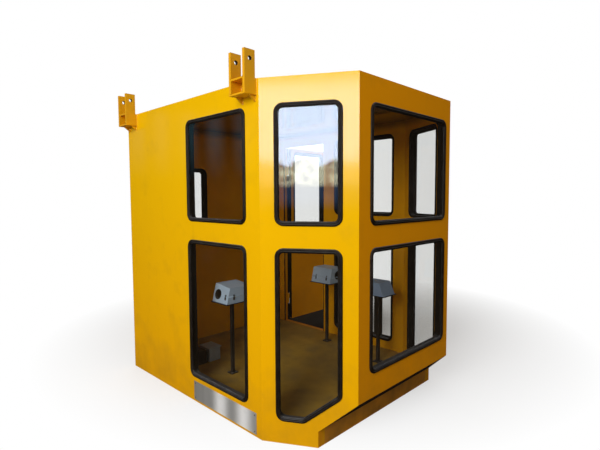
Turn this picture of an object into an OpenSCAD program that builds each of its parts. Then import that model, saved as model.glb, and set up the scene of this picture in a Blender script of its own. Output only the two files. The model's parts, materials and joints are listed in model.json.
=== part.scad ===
// Crane operator's cabin: a hollow welded steel cabin with a tapered glazed front,
// a door in the right side wall and four hanger clevises at the top.
// Millimetres. +Z is up, the front faces -Y, and the origin is the middle of the underside.
// Each wall is drawn in its own frame: X runs along the wall from its left end seen from
// outside, Y runs inwards from its outer face, and Z is the height above the ground.

/* [Cabin body] */
// Height of the walls
cab_h = 2200; // [2150:10:2600]
// Width across the side walls
cab_w = 1710; // [1660:10:2200]
// Length from the front wall to the rear wall
cab_l = 2250; // [2200:10:3200]
// Width of the front wall
front_w = 1110; // [1060:10:1400]
// Length of the tapered front part, along the cabin
taper_l = 510; // [440:10:600]
// Thickness of the walls
wall_t = 50; // [40:1:60]
// Thickness of the roof panel
roof_t = 50; // [30:1:80]

/* [Base and floor] */
// Height of the base beams
beam_h = 100; // [80:1:140]
// Width of the base beams
beam_w = 60; // [40:1:90]
// Thickness of the floor plate
floor_t = 6; // [4:0.5:12]
// Distance from the front wall back to the front beam
front_step = 205; // [160:5:260]
// Height of the front wall's lower edge
front_sill = 290; // [260:5:320]
// Upright thickness of the sloped apron under the front wall
apron_t = 50; // [30:1:55]

/* [Windows] */
// Distance from the top of the walls down to the upper windows
window_head = 150; // [150:5:220]
// Height of the upper windows themselves
upper_win_h = 720; // [640:5:760]
// Height of the wall between the upper and lower windows
transom_h = 130; // [100:5:180]
// Height of the lower edge of the side walls' lower windows
side_low_z = 185; // [160:5:300]
// Height of the lower edge of the front wall's lower window
front_low_z = 435; // [400:5:500]
// Height of the lower edge of the tapered walls' lower windows
taper_low_z = 140; // [130:5:200]
// Width of the front wall's windows
front_win_w = 930; // [700:5:940]
// Distance of the front windows' middle from the wall's middle, to the right
front_win_off = 17; // [0:1:25]
// Distance from the taper to the side walls' windows
side_win_gap = 130; // [90:5:140]
// Distance from the side walls' windows to the doorway
door_gap = 145; // [120:5:200]
// Distance from the side wall to the tapered walls' windows
taper_win_gap = 90; // [80:1:110]
// Width of the tapered walls' windows
taper_win_w = 410; // [330:5:420]
// Width of the cut corner of the tapered walls' lower windows
corner_cut_w = 232; // [180:2:250]
// Height of the cut corner of the tapered walls' lower windows
corner_cut_h = 175; // [150:5:190]
// Distance from the cabin's middle to the rear window's near edge
rear_win_off = 105; // [80:5:200]
// Width of the rear window
rear_win_w = 610; // [400:5:630]
// Distance from the top of the walls down to the rear window
rear_win_head = 425; // [380:5:500]
// Height of the rear window itself
rear_win_h = 550; // [400:5:600]
// Radius of the windows' corners
win_r = 55; // [35:1:60]

/* [Rubber seals and glass] */
// Width of the rubber seal
seal_w = 30; // [24:1:36]
// Width of the seal that laps over the wall
seal_lap = 10; // [8:1:14]
// Height of the seal above the wall's face
seal_proud = 8; // [4:0.5:12]
// Depth of the seal inside the wall
seal_depth = 14; // [12:1:20]
// Thickness of the glass
glass_t = 6; // [4:0.5:8]
// Depth that the glass reaches into the seal
glass_bite = 8; // [5:0.5:12]

/* [Door] */
// Width of the post behind the doorway
rear_post_w = 200; // [150:5:260]
// Width of the doorway
door_w = 590; // [540:5:610]
// Distance from the top of the walls down to the doorway
door_head = 155; // [145:5:200]
// Thickness of the door leaf
leaf_t = 40; // [30:1:44]
// Gap round the door leaf
leaf_gap = 6; // [5:0.5:10]
// Gap under the door leaf
leaf_foot_gap = 20; // [12:1:40]
// Width of the leaf's frame round its window
leaf_margin = 40; // [38:1:60]
// Height of the leaf's window
leaf_win_h = 850; // [700:5:860]
// Radius of the hinge barrels
hinge_r = 10; // [8:0.5:14]
// Radius of the hinge pins
pin_r = 5; // [3:0.5:6]
// Clearance round the hinge pins
pin_clear = 0.4; // [0.2:0.1:0.6]
// Height of each hinge
hinge_h = 110; // [90:2:140]
// Thickness of the hinge straps
strap_t = 5; // [4:0.5:7]
// Distance from the door's window down to the handle
handle_drop = 190; // [150:5:320]
// Distance from the leaf's free edge to the handle
handle_inset = 45; // [40:1:70]

/* [Hanger clevises] */
// Thickness of the clevis plates
ear_t = 20; // [12:1:25]
// Width of the clevis plates
ear_w = 78; // [70:1:100]
// Height of the clevis plates
ear_h = 256; // [220:2:320]
// Gap between the two plates
ear_gap = 110; // [80:1:140]
// Diameter of the pin holes
ear_bore = 26; // [20:1:34]
// Distance from the pin hole to the top of the plate
ear_bore_drop = 52; // [40:1:70]
// Thickness of the pad plate against the wall
pad_t = 12; // [8:1:20]
// Thickness of the clevis's cross plates
cross_t = 10; // [8:1:16]
// Height of the box between the plates
hanger_box_h = 97; // [80:1:100]
// Distance from the taper, or the rear wall, to the nearest plate
ear_inset = 16; // [10:1:40]
// Height of the gussets under the clevis
gusset_h = 38; // [24:1:45]

/* [Consoles and plate] */
// Distance from the front wall to the left console
left_console_y = 1280; // [1250:5:1310]
// Distance from the front wall to the right console
right_console_y = 1240; // [1200:5:1310]
// Distance from the left wall to the left console's middle
left_console_gap = 305; // [245:5:320]
// Distance from the right wall to the right console's middle
right_console_gap = 205; // [185:5:245]
// Distance from the right wall to the front console's middle
front_console_gap = 315; // [290:5:345]
// Distance from the front wall to the front console
front_console_y = 575; // [560:5:640]
// Length of a side console
console_l = 230; // [200:5:240]
// Width of a side console
console_w = 190; // [160:5:220]
// Height of a side console
console_h = 138; // [120:2:160]
// Lean of a side console's left side
console_lean = 35; // [10:1:50]
// Drop of the left console's lid towards the front
console_drop = 18; // [5:1:30]
// Width of the front console
front_console_w = 165; // [150:5:200]
// Length of the front console
front_console_l = 210; // [180:5:240]
// Height of the front console
front_console_h = 105; // [90:5:130]
// Height of the console boxes' lower edge
console_z = 690; // [640:5:760]
// Width of the console posts
post_w = 24; // [16:1:34]
// Width of the column on the front console's post
column_w = 50; // [40:1:60]
// Diameter of the cable hole in a console box
console_hole = 70; // [40:1:76]
// Distance from the front wall to the floor boxes
floor_box_y = 1600; // [1560:10:1700]
// Distance from the left wall to the floor boxes
floor_box_wall = 165; // [120:5:180]
// Width of each floor box
floor_box_w = 110; // [90:5:120]
// Length of each floor box
floor_box_l = 140; // [120:5:180]
// Height of each floor box
floor_box_h = 110; // [90:5:140]
// Gap between the floor boxes
floor_box_gap = 25; // [15:5:40]
// Length of the nameplate
plate_l = 710; // [500:5:720]
// Height of the nameplate
plate_h = 138; // [100:1:140]
// Thickness of the nameplate
plate_t = 3; // [2:0.5:5]

/* [Hidden] */
$fn = 48;

over = 1;
front_y = -cab_l / 2;
side_l = cab_l - taper_l;
taper_face = norm([(cab_w - front_w) / 2, taper_l]);
taper_a = atan2((cab_w - front_w) / 2, taper_l);
floor_top = beam_h + floor_t;
room_x = cab_w / 2 - wall_t;
window_top = cab_h - window_head;
upper_z = window_top - upper_win_h;
lower_top = upper_z - transom_h;
rear_win_z = cab_h - rear_win_head - rear_win_h;
door_top = cab_h - door_head;
door_x = side_l - rear_post_w - door_w;
side_win_w = door_x - door_gap - side_win_gap;
arc_steps = 8;
yellow = [0.92, 0.70, 0.01];
shade_yellow = [0.72, 0.50, 0.06];
rubber = [0.12, 0.11, 0.11];
glass = [0.65, 0.74, 0.80, 0.35];
light_grey = [0.72, 0.74, 0.76];
slate_grey = [0.42, 0.45, 0.50];
black_steel = [0.14, 0.12, 0.11];
stainless = [0.70, 0.69, 0.66];

// ---- outlines ----

function unit(v) = v / norm(v);
function inward(a, b) = let(d = unit(b - a)) [-d.y, d.x];
function before(pts, i) = pts[(i + len(pts) - 1) % len(pts)];
function after(pts, i) = pts[(i + 1) % len(pts)];

// A counter-clockwise outline moved inwards by d on every side.
function inset(pts, d) = [
    for (i = [0:len(pts) - 1])
        let(
            n1 = inward(before(pts, i), pts[i]),
            n2 = inward(pts[i], after(pts, i))
        )
        pts[i] + d * (n1 + n2) / (1 + n1 * n2)
];

// A counter-clockwise outline with every corner rounded by radius r.
function rounded(pts, r) = [
    for (i = [0:len(pts) - 1])
        let(
            n1 = inward(before(pts, i), pts[i]),
            n2 = inward(pts[i], after(pts, i)),
            centre = pts[i] + r * (n1 + n2) / (1 + n1 * n2),
            a1 = atan2(-n1.y, -n1.x),
            turn = acos(n1 * n2)
        )
        for (k = [0:arc_steps])
            centre + r * [cos(a1 + turn * k / arc_steps), sin(a1 + turn * k / arc_steps)]
];

function rect(x0, x1, z0, z1) = [[x0, z0], [x1, z0], [x1, z1], [x0, z1]];
function flipped(pts, l) = [for (i = [len(pts) - 1:-1:0]) [l - pts[i].x, pts[i].y]];

// Outer outline of the walls, then the inner one. Corner i starts wall i.
FRONT = 0;
FRONT_RIGHT = 1;
RIGHT = 2;
REAR = 3;
LEFT = 4;
FRONT_LEFT = 5;
shell = [
    [-front_w / 2, front_y],
    [front_w / 2, front_y],
    [cab_w / 2, front_y + taper_l],
    [cab_w / 2, front_y + cab_l],
    [-cab_w / 2, front_y + cab_l],
    [-cab_w / 2, front_y + taper_l]
];
inside = inset(shell, wall_t);

// Half width between the tapered walls' inner faces, at distance d from the front wall.
function taper_half(d) = front_w / 2 + d * tan(taper_a) - wall_t / cos(taper_a);

// Floor outline: behind the step, between the walls.
floor_outline = [
    [-taper_half(front_step), front_y + front_step],
    [taper_half(front_step), front_y + front_step],
    inside[2], inside[3], inside[4], inside[5]
];
beam_inside = inset(floor_outline, beam_w);

// Window outlines in their wall's frame: the rubber seals' outer edges.
front_win_x = (front_w - front_win_w) / 2 + front_win_off;
side_win_x = side_l - side_win_gap - side_win_w;
taper_x1 = taper_win_gap + taper_win_w;
rear_win_x = cab_w / 2 + rear_win_off;
front_windows = [
    rect(front_win_x, front_win_x + front_win_w, upper_z, window_top),
    rect(front_win_x, front_win_x + front_win_w, front_low_z, lower_top)
];
left_windows = [
    rect(side_win_x, side_win_x + side_win_w, upper_z, window_top),
    rect(side_win_x, side_win_x + side_win_w, side_low_z, lower_top)
];
right_windows = [for (w = left_windows) flipped(w, side_l)];
front_left_windows = [
    rect(taper_win_gap, taper_x1, upper_z, window_top),
    [
        [taper_win_gap, taper_low_z],
        [taper_x1 - corner_cut_w, taper_low_z],
        [taper_x1, taper_low_z + corner_cut_h],
        [taper_x1, lower_top],
        [taper_win_gap, lower_top]
    ]
];
front_right_windows = [for (w = front_left_windows) flipped(w, taper_face)];
rear_windows = [rect(rear_win_x, rear_win_x + rear_win_w, rear_win_z, rear_win_z + rear_win_h)];

// Doorway in the right wall's frame, and the leaf's outline in the same frame.
leaf_outline = rect(door_x + leaf_gap, door_x + door_w - leaf_gap,
                    floor_top + leaf_foot_gap, door_top - leaf_gap);
leaf_win_top = door_top - leaf_gap - leaf_margin;
leaf_win_z = leaf_win_top - leaf_win_h;
leaf_window = rect(door_x + leaf_gap + leaf_margin, door_x + door_w - leaf_gap - leaf_margin,
                   leaf_win_z, leaf_win_top);
open_angle = 90;
hinge_out = hinge_r + 2;
hinge_x = cab_w / 2 + hinge_out;
hinge_y = front_y + cab_l - rear_post_w;
hinge_end_gap = 190;
hinge_heights = [
    floor_top + hinge_end_gap,
    (floor_top + door_top - hinge_h) / 2,
    door_top - hinge_end_gap - hinge_h
];
strap_w = 38;
handle_back = [36, 170, 5];

// ---- frames and shared shapes ----

// Places its children in the frame of wall i.
module on_wall(i) {
    along = after(shell, i) - shell[i];
    translate([shell[i].x, shell[i].y, 0])
        rotate([0, 0, atan2(along.y, along.x)])
            children();
}

// A prism through a wall, from depth y0 to depth y1, of an outline in the wall's frame.
module through(pts, y0, y1) {
    translate([0, y1, 0])
        rotate([90, 0, 0])
            linear_extrude(y1 - y0) polygon(pts);
}

// The mitred slab of wall i between two heights.
module wall_slab(i, z0, z1) {
    translate([0, 0, z0])
        linear_extrude(z1 - z0)
            polygon([shell[i], after(shell, i), after(inside, i), inside[i]]);
}

// The holes of the windows, seen in their wall's frame.
module window_holes(windows) {
    for (w = windows)
        through(rounded(inset(w, seal_lap), win_r - seal_lap), -over, wall_t + over);
}

// The space under the cabin's sloped front, all across it.
module front_undercut() {
    translate([-cab_w, 0, 0])
        rotate([90, 0, 90])
            linear_extrude(2 * cab_w)
                polygon([
                    [front_y - over, -over],
                    [front_y + front_step, -over],
                    [front_y + front_step, beam_h],
                    [front_y, front_sill],
                    [front_y - over, front_sill]
                ]);
}

// Ring between two insets of a window's outline.
module seal_ring(w, d0, d1, y0, y1) {
    difference() {
        through(rounded(inset(w, d0), win_r - d0), y0, y1);
        through(rounded(inset(w, d1), win_r - d1), y0 - over, y1 + over);
    }
}

// Rubber seal of one window: a flat band on the wall's face and a bead in the hole,
// with the groove for the glass.
module seal(w) {
    color(rubber)
        difference() {
            union() {
                seal_ring(w, 0, seal_w, -seal_proud, 0);
                seal_ring(w, seal_lap, seal_w, -over, seal_depth);
            }
            through(rounded(inset(w, seal_w - glass_bite), win_r - seal_w + glass_bite),
                    glass_y, glass_y + glass_t);
        }
}

glass_y = (seal_depth - seal_proud - glass_t) / 2;

// Glass pane of one window, in the seal's groove.
module pane(w) {
    color(glass)
        through(rounded(inset(w, seal_w - glass_bite), win_r - seal_w + glass_bite),
                glass_y, glass_y + glass_t);
}

module seals_on(i, windows) {
    on_wall(i)
        for (w = windows)
            seal(w);
}

module panes_on(i, windows) {
    on_wall(i)
        for (w = windows)
            pane(w);
}

// ---- base and floor ----

module base_beam(i) {
    color(shade_yellow)
        linear_extrude(beam_h)
            polygon([floor_outline[i], after(floor_outline, i), after(beam_inside, i), beam_inside[i]]);
}

module base_front_beam() {
    base_beam(0);
}

module base_rear_beam() {
    base_beam(3);
}

module base_right_beam() {
    union() {
        base_beam(1);
        base_beam(2);
    }
}

module base_left_beam() {
    union() {
        base_beam(4);
        base_beam(5);
    }
}

module base_middle_beam() {
    color(shade_yellow)
        translate([beam_inside[4].x, -beam_w / 2, 0])
            cube([beam_inside[3].x - beam_inside[4].x, beam_w, beam_h]);
}

module floor_plate() {
    color(shade_yellow)
        translate([0, 0, beam_h])
            linear_extrude(floor_t) polygon(floor_outline);
}

module apron_plate() {
    apron_reach = apron_t * front_step / (front_sill - beam_h);
    color(shade_yellow)
        intersection() {
            translate([-cab_w, 0, 0])
                rotate([90, 0, 90])
                    linear_extrude(2 * cab_w)
                        polygon([
                            [front_y, front_sill],
                            [front_y + front_step, beam_h],
                            [front_y + front_step, beam_h + apron_t],
                            [front_y + apron_reach, front_sill]
                        ]);
            linear_extrude(cab_h)
                polygon([
                    shell[0], shell[1], inside[1],
                    floor_outline[1], floor_outline[0], inside[0]
                ]);
        }
}

// ---- walls and roof ----

module front_wall() {
    color(yellow)
        difference() {
            wall_slab(FRONT, front_sill, cab_h);
            on_wall(FRONT) window_holes(front_windows);
        }
}

module tapered_wall(i, windows) {
    color(yellow)
        difference() {
            wall_slab(i, 0, cab_h);
            front_undercut();
            on_wall(i) window_holes(windows);
        }
}

module front_left_wall() {
    tapered_wall(FRONT_LEFT, front_left_windows);
}

module front_right_wall() {
    tapered_wall(FRONT_RIGHT, front_right_windows);
}

module left_wall() {
    color(yellow)
        difference() {
            wall_slab(LEFT, 0, cab_h);
            on_wall(LEFT) window_holes(left_windows);
        }
}

module rear_wall() {
    color(yellow)
        difference() {
            wall_slab(REAR, 0, cab_h);
            on_wall(REAR) window_holes(rear_windows);
        }
}

// The right wall's slab between two places along it and two heights.
module right_wall_part(x0, x1, z0, z1) {
    color(yellow)
        intersection() {
            wall_slab(RIGHT, z0, z1);
            on_wall(RIGHT) translate([x0, -over, 0]) cube([x1 - x0, wall_t + 2 * over, cab_h]);
        }
}

module right_wall() {
    difference() {
        right_wall_part(-over, door_x, 0, cab_h);
        on_wall(RIGHT) window_holes(right_windows);
    }
}

module right_rear_post() {
    right_wall_part(door_x + door_w, side_l + over, 0, cab_h);
}

module door_lintel() {
    right_wall_part(door_x, door_x + door_w, door_top, cab_h);
}

module door_sill() {
    right_wall_part(door_x, door_x + door_w, 0, floor_top);
}

module roof_panel() {
    color(yellow)
        translate([0, 0, cab_h - roof_t])
            linear_extrude(roof_t) polygon(inside);
}

// ---- seals and glass ----

module front_seals() {
    seals_on(FRONT, front_windows);
}

module front_left_seals() {
    seals_on(FRONT_LEFT, front_left_windows);
}

module front_right_seals() {
    seals_on(FRONT_RIGHT, front_right_windows);
}

module left_seals() {
    seals_on(LEFT, left_windows);
}

module right_seals() {
    seals_on(RIGHT, right_windows);
}

module rear_seal() {
    seals_on(REAR, rear_windows);
}

module front_glass() {
    panes_on(FRONT, front_windows);
}

module front_left_glass() {
    panes_on(FRONT_LEFT, front_left_windows);
}

module front_right_glass() {
    panes_on(FRONT_RIGHT, front_right_windows);
}

module left_glass() {
    panes_on(LEFT, left_windows);
}

module right_glass() {
    panes_on(RIGHT, right_windows);
}

module rear_glass() {
    panes_on(REAR, rear_windows);
}

// ---- door ----

// Turns its children, drawn on the closed door, to the open position.
module open_door() {
    translate([hinge_x, hinge_y, 0])
        rotate([0, 0, open_angle])
            translate([-hinge_x, -hinge_y, 0])
                children();
}

module door_leaf() {
    color(yellow)
        open_door()
            on_wall(RIGHT)
                difference() {
                    through(leaf_outline, 0, leaf_t);
                    window_holes([leaf_window]);
                }
}

module door_seal() {
    open_door() seals_on(RIGHT, [leaf_window]);
}

module door_glass() {
    open_door() panes_on(RIGHT, [leaf_window]);
}

// Lever handle with its back plate, on both faces of the leaf.
module door_handle() {
    handle_x = door_x + leaf_gap + handle_inset;
    handle_z = leaf_win_z - handle_drop;
    spindle_r = 9;
    lever_l = 110;
    lever_out = 40;
    color(stainless)
        open_door()
            on_wall(RIGHT)
                for (side = [0, 1])
                    translate([handle_x, side * leaf_t, handle_z])
                        mirror([0, side, 0]) {
                            translate([-handle_back.x / 2, -handle_back.z, -handle_back.y / 2])
                                cube([handle_back.x, handle_back.z, handle_back.y]);
                            rotate([90, 0, 0]) cylinder(r = spindle_r, h = lever_out);
                            translate([0, -lever_out, 0])
                                rotate([0, 90, 0]) cylinder(r = spindle_r, h = lever_l);
                            translate([0, -lever_out, 0]) sphere(r = spindle_r);
                        }
}

// Half of a hinge: a barrel with a strap on the side that dir names.
module hinge_half(z, h, dir) {
    translate([hinge_x, hinge_y, z]) {
        cylinder(r = hinge_r, h = h);
        translate([-hinge_out, dir < 0 ? -strap_w : 0, 0])
            cube([strap_t, strap_w, h]);
    }
}

// The lower halves of the hinges, with their pins, on the post behind the doorway.
module door_hinge_pins() {
    color(shade_yellow)
        for (z = hinge_heights) {
            hinge_half(z, hinge_h / 2, 1);
            translate([hinge_x, hinge_y, z])
                cylinder(r = pin_r, h = hinge_h - 2 * over);
        }
}

// The upper halves of the hinges, on the leaf.
module door_hinge_barrels() {
    color(shade_yellow)
        open_door()
            for (z = hinge_heights)
                difference() {
                    hinge_half(z + hinge_h / 2 + over, hinge_h / 2 - over, -1);
                    translate([hinge_x, hinge_y, z])
                        cylinder(r = pin_r + pin_clear, h = hinge_h + over);
                }
}

// ---- hanger clevises ----

// Clevis at the origin of its own frame: X outwards from the wall, Y along the wall from
// the first plate's outer face, Z from the underside of the box.
module hanger() {
    run = 2 * ear_t + ear_gap;
    bore_z = ear_h - ear_bore_drop;
    color(yellow)
        union() {
            for (y = [0, ear_t + ear_gap])
                difference() {
                    translate([pad_t, y, 0]) cube([ear_w, ear_t, ear_h]);
                    translate([pad_t + ear_w / 2, y - over, bore_z])
                        rotate([-90, 0, 0])
                            cylinder(d = ear_bore, h = ear_t + 2 * over);
                }
            cube([pad_t, run, hanger_box_h]);
            cube([pad_t + ear_w, run, cross_t]);
            translate([0, 0, hanger_box_h - cross_t]) cube([pad_t + ear_w, run, cross_t]);
            for (y = [ear_t / 2, run - ear_t / 2 - cross_t])
                translate([0, y + cross_t, 0])
                    rotate([90, 0, 0])
                        linear_extrude(cross_t)
                            polygon([[0, 0], [0, -gusset_h], [pad_t + ear_w / 2, 0]]);
        }
}

hanger_run = 2 * ear_t + ear_gap;
hanger_z = cab_h - hanger_box_h;
hanger_front_y = front_y + taper_l + ear_inset;
hanger_rear_y = front_y + cab_l - ear_inset - hanger_run;

module hanger_at(side, y) {
    translate([side * cab_w / 2, y, hanger_z])
        mirror([side < 0 ? 1 : 0, 0, 0])
            hanger();
}

module hanger_front_left() {
    hanger_at(-1, hanger_front_y);
}

module hanger_front_right() {
    hanger_at(1, hanger_front_y);
}

module hanger_rear_left() {
    hanger_at(-1, hanger_rear_y);
}

module hanger_rear_right() {
    hanger_at(1, hanger_rear_y);
}

// ---- consoles ----

console_foot = [64, 64, 6];
console_tray = 12;
console_tray_t = 5;
console_hole_deep = 40;

// Post with a foot plate and a tray of some size, standing on the floor at the origin.
module console_stand(w, l) {
    post_top = console_z - console_tray_t;
    color(black_steel) {
        translate([-console_foot.x / 2, -console_foot.y / 2, floor_top]) cube(console_foot);
        translate([-post_w / 2, -post_w / 2, floor_top])
            cube([post_w, post_w, post_top - floor_top]);
        translate([-w / 2 - console_tray, -l / 2 - console_tray, post_top])
            cube([w + 2 * console_tray, l + 2 * console_tray, console_tray_t]);
    }
}

// Side console at the origin, w wide across the cabin and l long. Its left side leans in,
// and its lid slopes down to the front by drop.
module console_box(w, l, drop) {
    translate([0, 0, console_z])
        intersection() {
            rotate([90, 0, 0])
                linear_extrude(l, center = true)
                    polygon([
                        [-w / 2, 0],
                        [w / 2, 0],
                        [w / 2, console_h],
                        [console_lean - w / 2, console_h]
                    ]);
            rotate([90, 0, 90])
                linear_extrude(w, center = true)
                    polygon([
                        [-l / 2, 0],
                        [l / 2, 0],
                        [l / 2, console_h],
                        [-l / 2, console_h - drop]
                    ]);
        }
}

// The left console lies across the cabin.
module at_left_console() {
    translate([left_console_gap - room_x, front_y + left_console_y, 0])
        children();
}

module at_right_console() {
    translate([room_x - right_console_gap, front_y + right_console_y, 0])
        children();
}

module at_front_console() {
    translate([room_x - front_console_gap, front_y + front_console_y, 0])
        children();
}

module left_console_stand() {
    at_left_console() console_stand(console_l, console_w);
}

// Its cable hole goes square into the leaning left end.
module left_console_box() {
    hole_y = 38;
    hole_z = 60;
    hole_x = console_lean * hole_z / console_h - console_l / 2;
    color(light_grey)
        at_left_console()
            difference() {
                console_box(console_l, console_w, console_drop);
                translate([hole_x, hole_y, console_z + hole_z])
                    rotate([0, atan2(console_lean, console_h) - 90, 0])
                        cylinder(d = console_hole, h = 2 * console_hole_deep, center = true);
            }
}

module right_console_stand() {
    at_right_console() console_stand(console_w, console_l);
}

// Its cable hole is in the front end.
module right_console_box() {
    color(light_grey)
        at_right_console()
            difference() {
                console_box(console_w, console_l, 0);
                translate([console_lean / 2, -console_l / 2, console_z + console_h / 2])
                    rotate([90, 0, 0])
                        cylinder(d = console_hole, h = 2 * console_hole_deep, center = true);
            }
}

module front_console_stand() {
    column_gap = 240;
    column_z = floor_top + column_gap;
    at_front_console() {
        console_stand(front_console_w, front_console_l);
        color(black_steel)
            translate([-column_w / 2, -column_w / 2, column_z])
                cube([column_w, column_w, console_z - console_tray_t - column_z]);
    }
}

// Desk console with a front that leans back.
module front_console_box() {
    lean = 45;
    color(slate_grey)
        at_front_console()
            translate([-front_console_w / 2, 0, console_z])
                rotate([90, 0, 90])
                    linear_extrude(front_console_w)
                        polygon([
                            [-front_console_l / 2, 0],
                            [front_console_l / 2, 0],
                            [front_console_l / 2, front_console_h],
                            [lean - front_console_l / 2, front_console_h]
                        ]);
}

// ---- floor boxes ----

// Grey box on the floor behind the left console, with a lid that laps over its sides.
module junction_box() {
    lid_lap = 8;
    lid_t = 8;
    color(light_grey)
        translate([
            floor_box_wall + floor_box_w + floor_box_gap - room_x,
            front_y + floor_box_y,
            floor_top
        ]) {
            cube([floor_box_w, floor_box_l, floor_box_h]);
            translate([-lid_lap, -lid_lap, floor_box_h - over])
                cube([floor_box_w + 2 * lid_lap, floor_box_l + 2 * lid_lap, lid_t]);
        }
}

// Plain black box beside the junction box.
module switch_box() {
    color(black_steel)
        translate([floor_box_wall - room_x, front_y + floor_box_y, floor_top])
            cube([floor_box_w, floor_box_l, floor_box_h]);
}

// ---- nameplate ----

// Bare stainless plate low on the left wall.
module nameplate() {
    plate_gap = 52;
    plate_z = 16;
    color(stainless)
        on_wall(LEFT)
            translate([side_l - plate_gap - plate_l, -plate_t, plate_z])
                cube([plate_l, plate_t, plate_h]);
}

// ---- assembly ----

base_front_beam();
base_rear_beam();
base_left_beam();
base_right_beam();
base_middle_beam();
floor_plate();
apron_plate();
front_wall();
front_left_wall();
front_right_wall();
left_wall();
right_wall();
right_rear_post();
door_lintel();
door_sill();
rear_wall();
roof_panel();
front_seals();
front_left_seals();
front_right_seals();
left_seals();
right_seals();
rear_seal();
front_glass();
front_left_glass();
front_right_glass();
left_glass();
right_glass();
rear_glass();
door_leaf();
door_seal();
door_glass();
door_handle();
door_hinge_pins();
door_hinge_barrels();
hanger_front_left();
hanger_front_right();
hanger_rear_left();
hanger_rear_right();
left_console_stand();
left_console_box();
right_console_stand();
right_console_box();
front_console_stand();
front_console_box();
junction_box();
switch_box();
nameplate();
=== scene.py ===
"""Finishes a packed crane operator's cabin: window rubbers, fasteners, weld beads, paint and a studio."""

import json
import math

import bmesh
import bpy
from mathutils import Matrix, Vector
from mathutils.geometry import convex_hull_2d


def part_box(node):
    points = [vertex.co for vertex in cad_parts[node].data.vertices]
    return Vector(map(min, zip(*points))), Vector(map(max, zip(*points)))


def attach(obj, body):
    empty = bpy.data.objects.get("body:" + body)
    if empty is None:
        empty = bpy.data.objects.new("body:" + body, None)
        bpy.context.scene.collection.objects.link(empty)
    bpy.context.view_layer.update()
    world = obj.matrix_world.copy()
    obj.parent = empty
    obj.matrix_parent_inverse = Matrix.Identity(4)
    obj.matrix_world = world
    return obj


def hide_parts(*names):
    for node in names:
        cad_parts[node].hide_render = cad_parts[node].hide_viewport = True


bl_info = {
    "name": "Crane cabin finisher",
    "version": (1, 0, 0),
    "blender": (4, 5, 0),
    "location": "View3D > Sidebar > Crane cabin",
    "description": "Builds the trim, finishes and studio of a crane operator's cabin",
    "category": "Object",
}

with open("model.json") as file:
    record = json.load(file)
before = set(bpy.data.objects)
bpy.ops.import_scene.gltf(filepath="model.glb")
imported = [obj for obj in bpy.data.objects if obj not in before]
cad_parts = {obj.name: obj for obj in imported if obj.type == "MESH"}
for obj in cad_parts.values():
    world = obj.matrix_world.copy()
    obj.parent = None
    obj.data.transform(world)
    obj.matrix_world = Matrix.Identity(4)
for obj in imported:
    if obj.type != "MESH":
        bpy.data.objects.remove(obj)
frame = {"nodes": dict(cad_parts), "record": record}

NODES = frame["nodes"]
CABIN = "cabin"
DOOR = "door"
MM = 0.001
UP = Vector((0.0, 0.0, 1.0))
RIGHTWARDS = Vector((1.0, 0.0, 0.0))
REARWARDS = Vector((0.0, 1.0, 0.0))
WHITE = (1.0, 1.0, 1.0, 1.0)


# ------------------------ places on the cabin


class Face:
    """An upright face: where it starts seen from outside, the way it runs and the way it looks."""

    def __init__(self, start, end):
        self.start = Vector((start[0], start[1], 0.0))
        self.along = (Vector((end[0], end[1], 0.0)) - self.start).normalized()
        self.out = self.along.cross(UP)

    def matrix(self):
        """From a flat drawing, X along the face, Y up it and Z out of it."""
        columns = Matrix((self.along, UP, self.out)).transposed().to_4x4()
        columns.translation = self.start
        return columns

    def flat(self, place):
        """A point of the cabin, in the face's flat drawing."""
        offset = Vector(place) - self.start
        return Vector((offset.dot(self.along), place[2]))


FRONT_LOW, FRONT_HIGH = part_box("front_wall")
LEFT_LOW, LEFT_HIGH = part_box("left_wall")
LEAF_LOW, LEAF_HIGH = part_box("door_leaf")
LINTEL_LOW, LINTEL_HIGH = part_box("door_lintel")
FLOOR_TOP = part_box("floor_plate")[1].z
WALL_TOP = FRONT_HIGH.z
WALL_T = LEFT_HIGH.x - LEFT_LOW.x
LEAF_T = LEAF_HIGH.y - LEAF_LOW.y
WIDTH_HALF = -LEFT_LOW.x
LENGTH_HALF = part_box("rear_wall")[1].y

CORNERS = (
    (FRONT_LOW.x, FRONT_LOW.y),
    (FRONT_HIGH.x, FRONT_LOW.y),
    (WIDTH_HALF, LEFT_LOW.y),
    (WIDTH_HALF, LEFT_HIGH.y),
    (LEFT_LOW.x, LEFT_HIGH.y),
    (LEFT_LOW.x, LEFT_LOW.y),
)
FACES = [Face(start, end) for start, end in zip(CORNERS, CORNERS[1:] + CORNERS[:1])]
FRONT, FRONT_RIGHT, RIGHT, REAR, LEFT, FRONT_LEFT = FACES
LEAF = Face((LEAF_HIGH.x, LEAF_HIGH.y), (LEAF_LOW.x, LEAF_HIGH.y))


def islands(node):
    """The separate solids of a CAD node, each as a list of its corner points."""
    shape = bmesh.new()
    shape.from_mesh(NODES[node].data)
    bmesh.ops.remove_doubles(shape, verts=shape.verts, dist=MM / 100)
    left = set(shape.verts)
    found = []
    while left:
        reached = [left.pop()]
        for vert in reached:
            for edge in vert.link_edges:
                other = edge.other_vert(vert)
                if other in left:
                    left.remove(other)
                    reached.append(other)
        found.append([vert.co.copy() for vert in reached])
    shape.free()
    return sorted(found, key=lambda points: -max(p.z for p in points))


def outline(points, face):
    """The outer edge of a flat solid on a face, as points of the face's drawing."""
    flat = [face.flat(p) for p in points]
    kept = []
    for index in convex_hull_2d(flat):
        if not kept or (flat[index] - kept[-1]).length > MM:
            kept.append(flat[index])
    if (kept[0] - kept[-1]).length < MM:
        kept.pop()
    return kept


# ------------------------ node trees


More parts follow.
